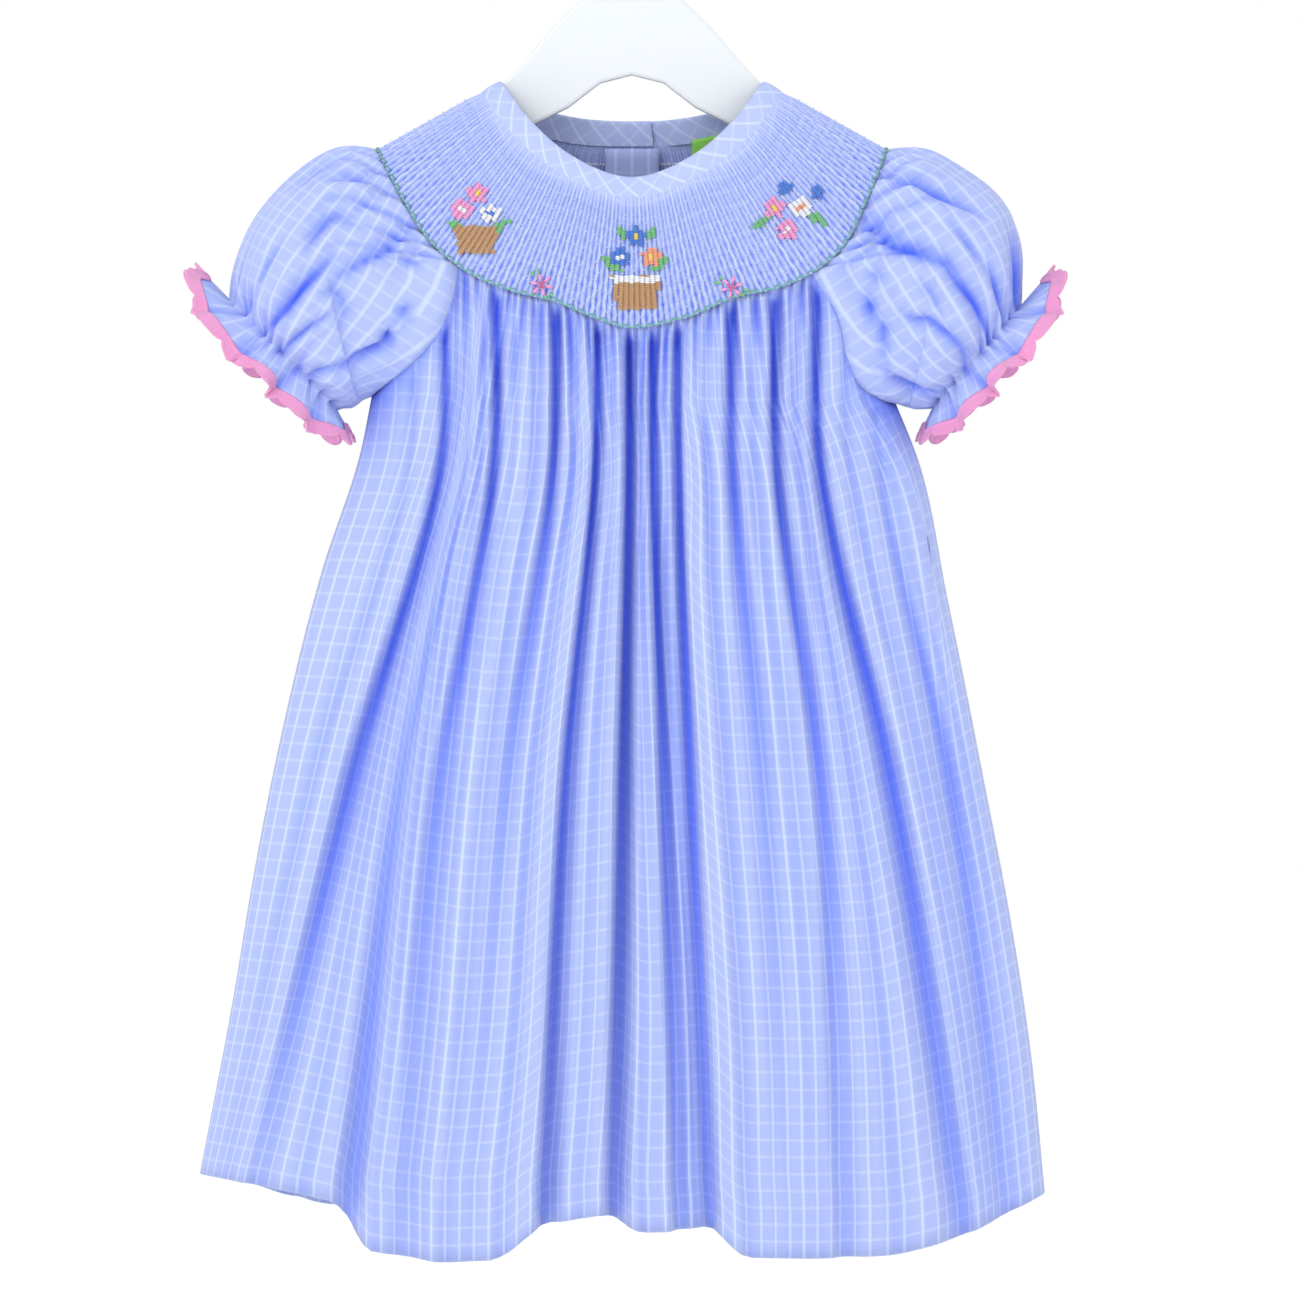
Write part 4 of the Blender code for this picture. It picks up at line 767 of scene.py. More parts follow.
def node_range(tree, value, low, high, to_low, to_high):
    """A smooth Map Range node."""
    node = tree.nodes.new("ShaderNodeMapRange")
    node.interpolation_type = "SMOOTHSTEP"
    tree.links.new(value, node.inputs["Value"])
    for name, number in (("From Min", low), ("From Max", high), ("To Min", to_low), ("To Max", to_high)):
        if isinstance(number, bpy.types.NodeSocket):
            tree.links.new(number, node.inputs[name])
        else:
            node.inputs[name].default_value = number
    return node.outputs["Result"]


def node_noise(tree, vector, scale, detail=2.0):
    """A Noise node; its Factor output."""
    node = tree.nodes.new("ShaderNodeTexNoise")
    node.inputs["Scale"].default_value = scale
    node.inputs["Detail"].default_value = detail
    tree.links.new(vector, node.inputs["Vector"])
    return node.outputs["Fac"]


def new_group(name, inputs, outputs):
    """A shader node group with named sockets; returns the tree and its two end nodes."""
    tree = bpy.data.node_groups.new(name, "ShaderNodeTree")
    for socket_name, kind, value in inputs:
        socket = tree.interface.new_socket(name=socket_name, in_out="INPUT", socket_type=kind)
        if value is not None:
            socket.default_value = (*value, 1.0) if isinstance(value, tuple) else value
    for socket_name, kind in outputs:
        tree.interface.new_socket(name=socket_name, in_out="OUTPUT", socket_type=kind)
    return tree, tree.nodes.new("NodeGroupInput"), tree.nodes.new("NodeGroupOutput")


def checked_cotton_group():
    """Plain woven cotton with a light windowpane check, laid in metres of cloth, with painted shade in its
    folds.
    """
    tree, source, target = new_group(
        "checked_cotton",
        (("Cloth Place", "NodeSocketVector", None), ("Fold", "NodeSocketFloat", 0.0),
         ("Cloth Color", "NodeSocketColor", (0.362, 0.435, 0.755)),
         ("Line Color", "NodeSocketColor", (0.60, 0.675, 0.88)),
         ("Painted Fold Shade Color", "NodeSocketColor", (0.010, 0.085, 0.80)),
         ("Repeat", "NodeSocketFloat", CHECK_REPEAT), ("Line Width", "NodeSocketFloat", 0.0013),
         ("Line Strength", "NodeSocketFloat", 0.62), ("Painted Fold Shade Strength", "NodeSocketFloat", 0.85)),
        (("Color", "NodeSocketColor"), ("Roughness", "NodeSocketFloat"), ("Height", "NodeSocketFloat")))
    place = source.outputs["Cloth Place"]
    split = tree.nodes.new("ShaderNodeSeparateXYZ")
    tree.links.new(place, split.inputs[0])
    half_repeat = node_math(tree, "MULTIPLY", source.outputs["Repeat"], 0.5)
    inner = node_math(tree, "MULTIPLY", source.outputs["Line Width"], 0.28)
    outer = node_math(tree, "MULTIPLY", source.outputs["Line Width"], 0.72)
    lines = []
    for socket, strength in ((split.outputs[0], 1.0), (split.outputs[1], 0.5)):
        aside = node_math(tree, "PINGPONG", socket, half_repeat)
        mask = node_range(tree, aside, inner, outer, strength, 0.0)
        lines.append(mask)
    crossing = node_math(tree, "MAXIMUM", lines[0], lines[1])
    both = node_math(tree, "MULTIPLY_ADD", node_math(tree, "MULTIPLY", lines[0], lines[1]), 0.35, crossing)
    slub = node_noise(tree, place, 900.0, 3.0)
    uneven = node_range(tree, slub, 0.3, 0.7, 0.72, 1.0)
    worn = node_math(tree, "MULTIPLY", both, uneven)
    masked = node_math(tree, "MULTIPLY", worn, source.outputs["Line Strength"])
    drift = node_noise(tree, place, 26.0, 2.0)
    cloth = node_mix(tree, node_range(tree, drift, 0.3, 0.7, 0.0, 0.16), source.outputs["Cloth Color"],
                     (0.31, 0.38, 0.74))
    thread = 2 * math.pi / 0.00042
    across = node_math(tree, "SINE", node_math(tree, "MULTIPLY", split.outputs[0], thread))
    down = node_math(tree, "SINE", node_math(tree, "MULTIPLY", split.outputs[1], thread))
    weave = node_math(tree, "MULTIPLY", across, down)
    woven = node_mix(tree, node_range(tree, weave, -1.0, 1.0, 0.10, 0.0), cloth, (0.26, 0.33, 0.70))
    checked = node_mix(tree, node_math(tree, "MINIMUM", masked, 1.0), woven, source.outputs["Line Color"])
    # painted shade: the colour goes toward a deep blue where the fold attribute is high, standing in for
    # shade in folds
    painted_fold_shade = node_math(tree, "MULTIPLY", source.outputs["Fold"], source.outputs["Painted Fold Shade Strength"])
    folded = node_mix(tree, painted_fold_shade, checked, source.outputs["Painted Fold Shade Color"])
    tree.links.new(folded, target.inputs["Color"])
    tree.links.new(node_range(tree, slub, 0.2, 0.8, 0.78, 0.92), target.inputs["Roughness"])
    height = node_math(tree, "MULTIPLY_ADD", weave, 0.5, node_math(tree, "MULTIPLY", masked, 0.6))
    tree.links.new(height, target.inputs["Height"])
    return tree


def twisted_floss_group():
    """Stranded embroidery thread: fine twist and a little colour change."""
    tree, source, target = new_group(
        "twisted_floss",
        (("Place", "NodeSocketVector", None), ("Floss Color", "NodeSocketColor", (0.8, 0.8, 0.8)),
         ("Twist Scale", "NodeSocketFloat", 2600.0)),
        (("Color", "NodeSocketColor"), ("Roughness", "NodeSocketFloat"), ("Height", "NodeSocketFloat")))
    place = source.outputs["Place"]
    wave = tree.nodes.new("ShaderNodeTexWave")
    wave.wave_type = "BANDS"
    wave.bands_direction = "DIAGONAL"
    wave.inputs["Distortion"].default_value = 1.2
    tree.links.new(place, wave.inputs["Vector"])
    tree.links.new(source.outputs["Twist Scale"], wave.inputs["Scale"])
    blotch = node_noise(tree, place, 500.0, 2.0)
    uneven = node_math(tree, "MULTIPLY", blotch, 0.2)
    shade = node_math(tree, "MULTIPLY_ADD", wave.outputs["Fac"], 0.22, uneven)
    darker = node_mix(tree, 1.0, source.outputs["Floss Color"], (0.62, 0.62, 0.66), "MULTIPLY")
    tree.links.new(node_mix(tree, shade, source.outputs["Floss Color"], darker), target.inputs["Color"])
    tree.links.new(node_range(tree, blotch, 0.2, 0.8, 0.55, 0.72), target.inputs["Roughness"])
    tree.links.new(wave.outputs["Fac"], target.inputs["Height"])
    return tree


def moulded_plastic_group():
    """Moulded plastic: faint flow marks, fine scuffs and a satin skin."""
    tree, source, target = new_group(
        "moulded_plastic",
        (("Place", "NodeSocketVector", None), ("Plastic Color", "NodeSocketColor", (0.9, 0.9, 0.9)),
         ("Mark Scale", "NodeSocketFloat", 40.0)),
        (("Color", "NodeSocketColor"), ("Roughness", "NodeSocketFloat"), ("Height", "NodeSocketFloat")))
    place = source.outputs["Place"]
    flow = tree.nodes.new("ShaderNodeTexNoise")
    flow.inputs["Detail"].default_value = 4.0
    tree.links.new(place, flow.inputs["Vector"])
    tree.links.new(source.outputs["Mark Scale"], flow.inputs["Scale"])
    skin = node_noise(tree, place, 2200.0, 2.0)
    shade = node_range(tree, flow.outputs["Fac"], 0.35, 0.75, 0.0, 0.35)
    darker = node_mix(tree, 1.0, source.outputs["Plastic Color"], (0.94, 0.955, 0.98), "MULTIPLY")
    tree.links.new(node_mix(tree, shade, source.outputs["Plastic Color"], darker), target.inputs["Color"])
    tree.links.new(node_range(tree, flow.outputs["Fac"], 0.3, 0.7, 0.30, 0.42), target.inputs["Roughness"])
    tree.links.new(skin, target.inputs["Height"])
    return tree


COTTON_GROUP = checked_cotton_group()
FLOSS_GROUP = twisted_floss_group()
PLASTIC_GROUP = moulded_plastic_group()


def surface_material(name, group, values, vector, bump, sheen=0.0, coat=0.0, specular=0.5):
    """A material whose colour, roughness and bump come from a group, with its own values."""
    made = bpy.data.materials.new(name)
    made.use_nodes = True
    tree = made.node_tree
    shader = tree.nodes["Principled BSDF"]
    pattern = tree.nodes.new("ShaderNodeGroup")
    pattern.node_tree = group
    for socket_name, value in values.items():
        pattern.inputs[socket_name].default_value = (*value, 1.0) if isinstance(value, tuple) else value
    if vector == "cloth":
        laid = tree.nodes.new("ShaderNodeUVMap")
        laid.uv_map = "cloth"
        tree.links.new(laid.outputs["UV"], pattern.inputs["Cloth Place"])
        # the fold attribute holds painted shade for folds, creases and gathers
        painted_fold_shade = tree.nodes.new("ShaderNodeAttribute")
        painted_fold_shade.attribute_name = "fold"
        tree.links.new(painted_fold_shade.outputs["Fac"], pattern.inputs["Fold"])
    else:
        where = tree.nodes.new("ShaderNodeTexCoord")
        tree.links.new(where.outputs["Object"], pattern.inputs["Place"])
    relief = tree.nodes.new("ShaderNodeBump")
    relief.inputs["Strength"].default_value = bump[0]
    relief.inputs["Distance"].default_value = bump[1]
    tree.links.new(pattern.outputs["Height"], relief.inputs["Height"])
    tree.links.new(pattern.outputs["Color"], shader.inputs["Base Color"])
    tree.links.new(pattern.outputs["Roughness"], shader.inputs["Roughness"])
    tree.links.new(relief.outputs["Normal"], shader.inputs["Normal"])
    shader.inputs["Sheen Weight"].default_value = sheen
    shader.inputs["Sheen Roughness"].default_value = 0.5
    shader.inputs["Coat Weight"].default_value = coat
    shader.inputs["Specular IOR Level"].default_value = specular
    return made


CLOTH_MATERIAL = surface_material(
    "checked_cotton_cloth", COTTON_GROUP, {}, "cloth", (0.25, 0.0002), 0.15, 0.0, 0.2)
SLEEVE_MATERIAL = surface_material(
    "soft_checked_cotton", COTTON_GROUP,
    {"Line Strength": 0.5, "Line Width": 0.0016},
    "cloth", (0.25, 0.0002), 0.15, 0.0, 0.2)
YOKE_MATERIAL = surface_material(
    "smocked_cotton", COTTON_GROUP,
    {"Line Width": 0.0016, "Line Strength": 0.42, "Painted Fold Shade Strength": 0.8, "Cloth Color": (0.385, 0.46, 0.77)},
    "cloth", (0.2, 0.0002), 0.15, 0.0, 0.2)
BAND_MATERIAL = surface_material(
    "bias_cotton", COTTON_GROUP,
    {"Line Strength": 0.6, "Line Width": 0.0012, "Cloth Color": (0.40, 0.47, 0.74)},
    "cloth", (0.25, 0.0002), 0.15, 0.0, 0.2)
FLOSS_COLORS = {
    "pink": (0.93, 0.36, 0.66), "deep_pink": (0.80, 0.10, 0.28), "tan": (0.56, 0.32, 0.15),
    "blue": (0.07, 0.22, 0.72), "white": (0.90, 0.91, 0.95), "yellow": (0.90, 0.68, 0.12),
    "green": (0.18, 0.55, 0.20), "coral": (0.93, 0.38, 0.22), "sea_green": (0.16, 0.46, 0.36),
    # the pale blue is the smocking floss, made pale so that it also gives painted highlights on the pleat
    # ridges
    "pale_blue_highlight": (0.54, 0.62, 0.86),
}
FLOSS_MATERIALS = {
    name: surface_material(name + "_floss", FLOSS_GROUP, {"Floss Color": colour}, "object",
                           (0.5, 0.0002), 0.2, 0.0, 0.3)
    for name, colour in FLOSS_COLORS.items()
}
CROCHET_MATERIAL = surface_material(
    "pink_crochet", FLOSS_GROUP, {"Floss Color": (0.95, 0.37, 0.68), "Twist Scale": 1500.0}, "object",
    (0.6, 0.0004), 0.3, 0.0, 0.2)
LABEL_MATERIAL = surface_material(
    "lime_tape", FLOSS_GROUP, {"Floss Color": (0.30, 0.74, 0.12), "Twist Scale": 1900.0}, "object",
    (0.4, 0.0002), 0.1, 0.0, 0.3)
HANGER_MATERIAL = surface_material(
    "white_moulded_plastic", PLASTIC_GROUP, {"Plastic Color": (0.635, 0.663, 0.70)}, "object", (0.08, 0.0003),
    0.0, 0.15, 0.5)
BUTTON_MATERIAL = surface_material(
    "white_button", PLASTIC_GROUP, {"Plastic Color": (0.84, 0.87, 0.94), "Mark Scale": 260.0}, "object",
    (0.06, 0.0002), 0.0, 0.35, 0.5)


def to_world(points):
    """Metres with the origin inside the top of the hook."""
    points = np.asarray(points, dtype=float)
    heights = -(points[..., 2] + NECK_BELOW_HOOK) * MM
    return np.stack([points[..., 0] * MM, points[..., 1] * MM, heights], axis=-1)


def place_mesh(mesh_data, name, surface):
    """An object for a finished bmesh."""
    mesh = bpy.data.meshes.new(name)
    mesh_data.to_mesh(mesh)
    mesh_data.free()
    mesh.materials.append(surface)
    mesh.shade_smooth()
    made = bpy.data.objects.new(name, mesh)
    bpy.context.scene.collection.objects.link(made)
    return made


def lay_cloth(name, points, cloth_places, fold, surface, outward_from, closed=False, shell=SHELL):
    """A grid of cloth: its places, its pattern in metres of cloth and the painted shade of each place,
    deepest in folds.
    """
    rows, columns = points.shape[:2]
    sheet = bmesh.new()
    bmesh.ops.create_grid(sheet, x_segments=columns - 1, y_segments=rows - 1, size=1.0)
    made = place_mesh(sheet, name, surface)
    mesh = made.data
    flat = np.empty(len(mesh.vertices) * 3)
    mesh.vertices.foreach_get("co", flat)
    flat = flat.reshape(-1, 3)
    column = np.rint((flat[:, 0] + 1) / 2 * (columns - 1)).astype(int)
    row = np.rint((flat[:, 1] + 1) / 2 * (rows - 1)).astype(int)
    mesh.vertices.foreach_set("co", to_world(points)[row, column].ravel())
    corner = np.empty(len(mesh.loops), dtype=int)
    mesh.loops.foreach_get("vertex_index", corner)
    pattern = mesh.uv_layers.new(name="cloth")
    pattern.data.foreach_set("uv", cloth_places[row[corner], column[corner]].ravel())
    # fold attribute: painted shade, deepest in folds
    painted_fold_shade = mesh.attributes.new("fold", "FLOAT", "POINT")
    painted_fold_shade.data.foreach_set("value", fold[row, column].ravel())
    mesh.update()
    work = bmesh.new()
    work.from_mesh(mesh)
    if closed:
        bmesh.ops.remove_doubles(work, verts=work.verts[:], dist=0.00001)
    work.normal_update()
    centre = Vector(to_world(np.array(outward_from)))
    facing = sum(face.normal.dot(face.calc_center_median() - centre) for face in work.faces)
    if facing < 0:
        bmesh.ops.reverse_faces(work, faces=work.faces[:])
    work.to_mesh(mesh)
    work.free()
    if shell:
        wall = made.modifiers.new("cloth_wall", "SOLIDIFY")
        wall.thickness = shell * MM
        wall.offset = -1.0
        wall.use_rim = True
    return made


def ride_dress(made):
    """The piece moves with the dress."""
    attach(made, "root")
    return made


def cloth_width(points, row):
    """Running width of the cloth along one row of places, in metres."""
    return run_lengths(points[row]) * MM


def seam_places(panel, share, column, points, downs):
    """Where a skirt panel's edge is sewn: at the centre back, or half way to the panel beyond the side."""
    if share not in (0.0, 1.0):
        places = points[:, column].copy()
        places[:, 0] = SEWN_GAP if column == 0 else -SEWN_GAP
        return places
    if panel is BACK_PANEL:
        other, span = FRONT_PANEL, (0.0, 1.0)
    else:
        other, span = BACK_PANEL, (share / 2, share / 2 + 0.5)
    met = other.surface(other.columns(*span), downs)[0]
    places = (points[:, column] + met[:, column]) / 2
    places[:, 1] = SEWN_GAP * panel.facing
    return places


def skirt(name, panel, start, end, replaced):
    """A skirt panel between two shares, its check laid square to the hem."""
    alongs = panel.columns(start, end)
    even = np.linspace(0.0, 1.0, SKIRT_ROWS)
    downs = 0.35 * even ** 2.4 + 0.65 * even
    points, fold = panel.surface(alongs, downs)
    for column, share in ((0, start), (-1, end)):
        offset = seam_places(panel, share, column, points, downs) - points[:, column]
        near_seam = np.clip(1.0 - np.abs(alongs - share) / SEAM_EASE, 0.0, 1.0) ** 2
        points += near_seam[None, :, None] * offset[:, None, :]
    width = CLOTH_TAKEN_UP * (cloth_width(points, -1) + cloth_width(points, SKIRT_ROWS * 2 // 3)) / 2
    length = (points[-1, :, 2] - points[:, :, 2]) * MM
    cloth_places = np.stack([np.broadcast_to(width, length.shape), length], axis=-1)
    made = lay_cloth(name, points, cloth_places, fold, CLOTH_MATERIAL, (0.0, 0.0, 300.0))
    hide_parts(replaced)
    return ride_dress(made)


def pleat_profile(phase):
    """Height of a pleat: round at its ridge and sharp in the valley."""
    return np.abs(np.cos(np.pi * phase)) ** 0.75


def yoke(name, start, end, replaced):
    """Smocked top of one panel: tubular pleats drawn together in turn by the rows of stitches."""
    pleats = PLEATS * (end - start)
    arounds = np.linspace(start, end, max(2, round(pleats * PLEAT_COLUMNS)) + 1)
    downs = np.linspace(-0.03, 1.012, YOKE_ROWS)
    phase = arounds * PLEATS
    number = np.rint(phase)
    stitch_phase = downs[:, None] * SMOCKING_ROWS
    sway = np.cos(np.pi * (stitch_phase + number)) * PLEAT_SWAY * ease(downs / 0.2)[:, None]
    sway *= np.cos(np.pi * (phase - number))
    shifted = arounds + sway / PLEATS
    shifted[:, 0] = arounds[0]
    shifted[:, -1] = arounds[-1]
    base = yoke_points(np.broadcast_to(arounds, shifted.shape),
                       np.broadcast_to(downs[:, None], shifted.shape))
    normals = grid_normals(base)
    if np.sum(normals[..., 1] * np.sign(base[..., 1])) < 0:
        normals = -normals
    points = yoke_points(shifted, np.broadcast_to(downs[:, None], shifted.shape))
    profile = pleat_profile(phase)
    rise = 0.25 + 0.75 * ease(downs / 0.12)
    open_more = 0.75 + 0.35 * downs
    relief = PLEAT_HEIGHT * (rise * open_more)[:, None] * (profile - 0.35)
    points = points + normals * (relief + CLOTH / 2)[..., None]
    length = np.linalg.norm(on_ring("stitch", arounds) - on_ring("seam", arounds), axis=-1)
    cloth_down = (1 - downs)[:, None] * length * YOKE_CLOTH_DOWN
    cloth_across = np.broadcast_to(phase * YOKE_CLOTH_PER_PLEAT, cloth_down.shape)
    # valley: painted shade in the slits between pleats, strongest where a row of stitches leaves a slit open
    slit = np.floor(phase)
    opened = 0.5 - 0.5 * np.cos(np.pi * (stitch_phase + slit))
    uneven = 0.7 + 0.3 * np.sin(7.3 * slit + 2.1 * np.floor(stitch_phase))
    valley = np.clip(1 - profile * 1.25, 0, 1) * (0.35 + 0.65 * ease(downs))[:, None]
    valley = valley * (0.2 + 1.25 * opened ** 1.5 * uneven)
    made = lay_cloth(name, points, np.stack([cloth_across, cloth_down], axis=-1), valley, YOKE_MATERIAL,
                     (0.0, 0.0, 60.0), shell=0.0)
    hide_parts(replaced)
    return ride_dress(made)


def puff_sleeve(side, sleeve):
    """Sleeve from its seam through the elastic to the edge of the ruffle."""
    arounds = np.linspace(0.0, 1.0, SLEEVE_COLUMNS + 1)
    alongs = np.linspace(0.0, 1.0, SLEEVE_ROWS)
    puff, puff_painted_shade = sleeve.surface(arounds, alongs)
    ruffle, ruffle_painted_shade = sleeve.ruffle(arounds, np.linspace(0.0, RUFFLE_LENGTH, RUFFLE_ROWS)[1:])
    points = np.concatenate([puff, ruffle])
    fold = np.concatenate([puff_painted_shade, ruffle_painted_shade])
    points[:, -1] = points[:, 0]
    cloth_places = sleeve.cloth_places(points)
    middle = sleeve.middle_of(sleeve.sections[2])
    made = lay_cloth("puff_sleeve_" + side, points, cloth_places, fold, SLEEVE_MATERIAL, middle, closed=True)
    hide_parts("sleeve_" + side)
    return ride_dress(made)


def crochet_edging(side, sleeve):
    """Crochet edging in small scallops, each with a few ribs, under a corded top edge."""
    columns = SCALLOPS * 12
    arounds = np.linspace(0.0, 1.0, columns + 1)
    scallop = np.abs(np.sin(np.pi * SCALLOPS * arounds))
    depth = 0.5 + EDGING_DEPTH * (0.50 + 0.50 * scallop ** 0.55)
    shares = np.linspace(0.0, 1.0, 9)
    outs = RUFFLE_LENGTH - 1.2 + (depth + 1.2) * shares[:, None]
    points, _ = sleeve.ruffle(arounds, outs)
    normals = grid_normals(points[:, :-1], closed=True)
    normals = np.concatenate([normals, normals[:, :1]], axis=1)
    away = unit(points - sleeve.middle_of(sleeve.sections[-1]))
    if np.sum(normals * away) < 0:
        normals = -normals
    ribs = 0.28 * np.abs(np.cos(np.pi * SCALLOPS * 3 * arounds))
    rows = 0.22 * np.abs(np.sin(np.pi * 3 * shares))
    edge_round = 0.55 * np.exp(-((shares - 0.12) / 0.09) ** 2) + 0.30 * np.exp(-((shares - 0.93) / 0.08) ** 2)
    lift = 0.35 + ribs[None, :] * (shares[:, None] > 0.2) + rows[:, None] + edge_round[:, None]
    points = points + normals * lift[..., None]
    points[:, -1] = points[:, 0]
    cloth_places = np.stack(np.broadcast_arrays(arounds[None, :] * 0.2, shares[:, None] * 0.006), axis=-1)
    fold = np.zeros(points.shape[:2])
    made = lay_cloth("crochet_edging_" + side, points, cloth_places, fold, CROCHET_MATERIAL,
                     sleeve.middle_of(sleeve.sections[-1]), closed=True, shell=1.1)
    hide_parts("edging_" + side)
    return ride_dress(made)


def bias_band():
    """Neckband folded over the edge, its end lapped outside at the centre back."""
    bend = 0.25 * (1 - (1 - np.linspace(0, 1, 90)) ** 1.5)
    half = np.concatenate([bend, 0.5 - bend[-2::-1]])
    shares = np.concatenate([[-BAND_LAP], half, 1 - half[-2::-1], [1 + BAND_LAP]])
    lift = BAND_LAP_LIFT * ease((shares - (1 - 2.2 * BAND_LAP)) / BAND_LAP)
    edge = on_ring("edge", shares)
    seam = on_ring("seam", shares)
    section = ((1.02, 0.45), (0.86, 1.1), (0.6, 1.3), (0.35, 1.25), (0.15, 1.05), (0.03, 0.75), (-0.03, 0.0),
               (0.03, -0.6), (0.15, -0.75), (0.4, -0.8), (0.7, -0.8), (1.0, -0.7))
    base = np.array([edge + (seam - edge) * down * BAND_SHARE for down, _ in section])
    plain = np.array([edge + (seam - edge) * down for down in (0.0, 0.5, 1.0)])
    normals = grid_normals(plain)[1]
    if np.sum(normals[:, 1] * np.sign(edge[:, 1])) < 0:
        normals = -normals
    points = base + np.array([out for _, out in section])[:, None, None] * normals[None]
    points[..., 1] += lift
    along = cloth_width(plain, 1)
    across = np.array([down for down, _ in section])
    folded = np.concatenate([[0.0], np.cumsum(np.abs(np.diff(across)))]) * 0.0122
    slant = math.sqrt(0.5)
    u = (along[None, :] + folded[:, None]) * slant
    v = (along[None, :] - folded[:, None]) * slant
    shade = np.zeros(points.shape[:2])
    made = lay_cloth("bias_neckband", points, np.stack([u, v], axis=-1), shade, BAND_MATERIAL,
                     (0.0, 0.0, 40.0), shell=0.0)
    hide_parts("neckband")
    return ride_dress(made)


def back_depth_at(x, drop):
    """Where the back's cloth lies in y near the centre, from the neck seam down."""
    heights = []
    for ring in ("seam", "stitch"):
        curve = RINGS[ring][0][::-1]
        heights.append((np.interp(-abs(x), curve[:, 0], curve[:, 1]),
                        np.interp(-abs(x), curve[:, 0], curve[:, 2])))
    (seam_y, seam_drop), (stitch_y, stitch_drop) = heights
    if drop < stitch_drop:
        down = (drop - seam_drop) / (stitch_drop - seam_drop)
        return seam_y + (stitch_y - seam_y) * down + 3.0 * math.sin(math.pi * min(max(down, 0.0), 1.0))
    reach = np.interp(drop, [row.drop for row in BACK_REACH], [row.y for row in BACK_REACH])
    return stitch_y + (reach - stitch_y) * ease((drop - stitch_drop) / 55.0)


def back_strip(name, left, right, top, bottom, offset, surface, replaced, rows, columns, wave=0.0,
               rise=0.0):
    """A strip that follows the back at an even distance from its middle, its right end higher by the rise."""
    drops = np.linspace(top, bottom, rows)
    places = np.linspace(left, right, columns)
    points = np.array([[(x, back_depth_at(x, drop) + offset, drop) for x in places] for drop in drops])
    points[..., 2] -= rise * (places - left) / (right - left)
    points[..., 1] += wave * np.sin(drops[:, None] / 9.0) * np.cos(places[None, :] / 6.0)
    cloth_places = np.stack(np.broadcast_arrays(places[None, :] * MM, -drops[:, None] * MM), axis=-1)
    made = lay_cloth(name, points, cloth_places, np.zeros(points.shape[:2]), surface, (0.0, 0.0, 100.0))
    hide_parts(replaced)
    return ride_dress(made)


# Stitches are short rounded lengths of thread laid on the yoke


def yoke_frame(around, down):
    """A place on the yoke with its directions round, down and outward."""
    point = yoke_points(around, down)
    round_way = yoke_points(around + 0.002, down) - yoke_points(around - 0.002, down)
    down_way = yoke_points(around, down + 0.02) - yoke_points(around, down - 0.02)
    flip = np.array([1.0, 1.0, -1.0])
    round_way = unit(round_way * flip)
    down_way = unit(down_way * flip)
    outward = unit(np.cross(down_way, round_way))
    if outward[1] * point[1] < 0:
        outward = -outward
    return to_world(point), round_way, down_way, outward


def stitch_matrix(around, down, length, width, turn, lift, aside=0.0):
    """Where one stitch lies: turn is its slope from the round direction, in degrees."""
    place, round_way, down_way, outward = yoke_frame(around, down)
    slope = math.radians(turn)
    way = round_way * math.cos(slope) + down_way * math.sin(slope)
    across = np.cross(outward, way)
    place = place + (outward * lift + down_way * aside) * MM
    matrix = Matrix.Identity(4)
    for k, (direction, size) in enumerate(((way, length), (across, width), (outward, width * 0.8))):
        for axis in range(3):
            matrix[axis][k] = direction[axis] * size * MM / 2
    for axis in range(3):
        matrix[axis][3] = place[axis]
    return matrix


def sew(name, matrices, floss):
    """All stitches of one thread as one piece."""
    gathered = bmesh.new()
    for first in range(0, len(matrices), 150):
        batch = bmesh.new()
        for matrix in matrices[first:first + 150]:
            bmesh.ops.create_icosphere(batch, subdivisions=1, radius=1.0, matrix=matrix)
        bmesh.ops.recalc_face_normals(batch, faces=batch.faces[:])
        part = bpy.data.meshes.new(name + "_batch")
        batch.to_mesh(part)
        batch.free()
        gathered.from_mesh(part)
        bpy.data.meshes.remove(part)
    made = place_mesh(gathered, name, FLOSS_MATERIALS[floss])
    return ride_dress(made)


def pitch_at(around, down):
    """Distance between neighbouring pleats, in millimetres."""
    step = yoke_points(around + 0.5 / PLEATS, down) - yoke_points(around - 0.5 / PLEATS, down)
    return float(np.linalg.norm(step))


def smocking_stitches():
    """Rows of stitches that draw neighbouring pleats together in turn, in a pale floss that also gives
    painted highlights on the pleat ridges.
    """
    matrices = []
    for row in range(2, SMOCKING_ROWS):
        down = row / SMOCKING_ROWS
        for number in range(PLEATS):
            if (number + row) % 2:
                continue
            around = (number + 0.5) / PLEATS
            matrices.append(stitch_matrix(around, down, pitch_at(around, down) * 0.95, 0.62, 0.0, 2.05))
    return sew("smocking_stitches", matrices, "pale_blue_highlight")


def stitch_row_stitches():
    """The green row where the smocking ends: stitches that slope up and down in turn."""
    matrices = []
    for number in range(PLEATS):
        around = (number + 0.5) / PLEATS
        length = pitch_at(around, 1.0) * 1.35
        matrices.append(stitch_matrix(around, 1.0, length, 1.15, 34.0 if number % 2 else -34.0, 2.3))
    return sew("stitch_row", matrices, "sea_green")


def inside_back_stitches():
    """White zigzag rows on the inside of the back."""
    matrices = []
    for down, inner in ((0.14, 0.02), (0.24, 0.02)):
        for number in range(-int(0.115 * PLEATS), int(0.115 * PLEATS)):
            around = (number + 0.5) / PLEATS
            if abs(around) < inner:
                continue
            slope = 38.0 if number % 2 else -38.0
            matrices.append(stitch_matrix(around, down, pitch_at(around, down) * 1.4, 0.7, slope, -1.3))
    return sew("inside_back_stitches", matrices, "white")


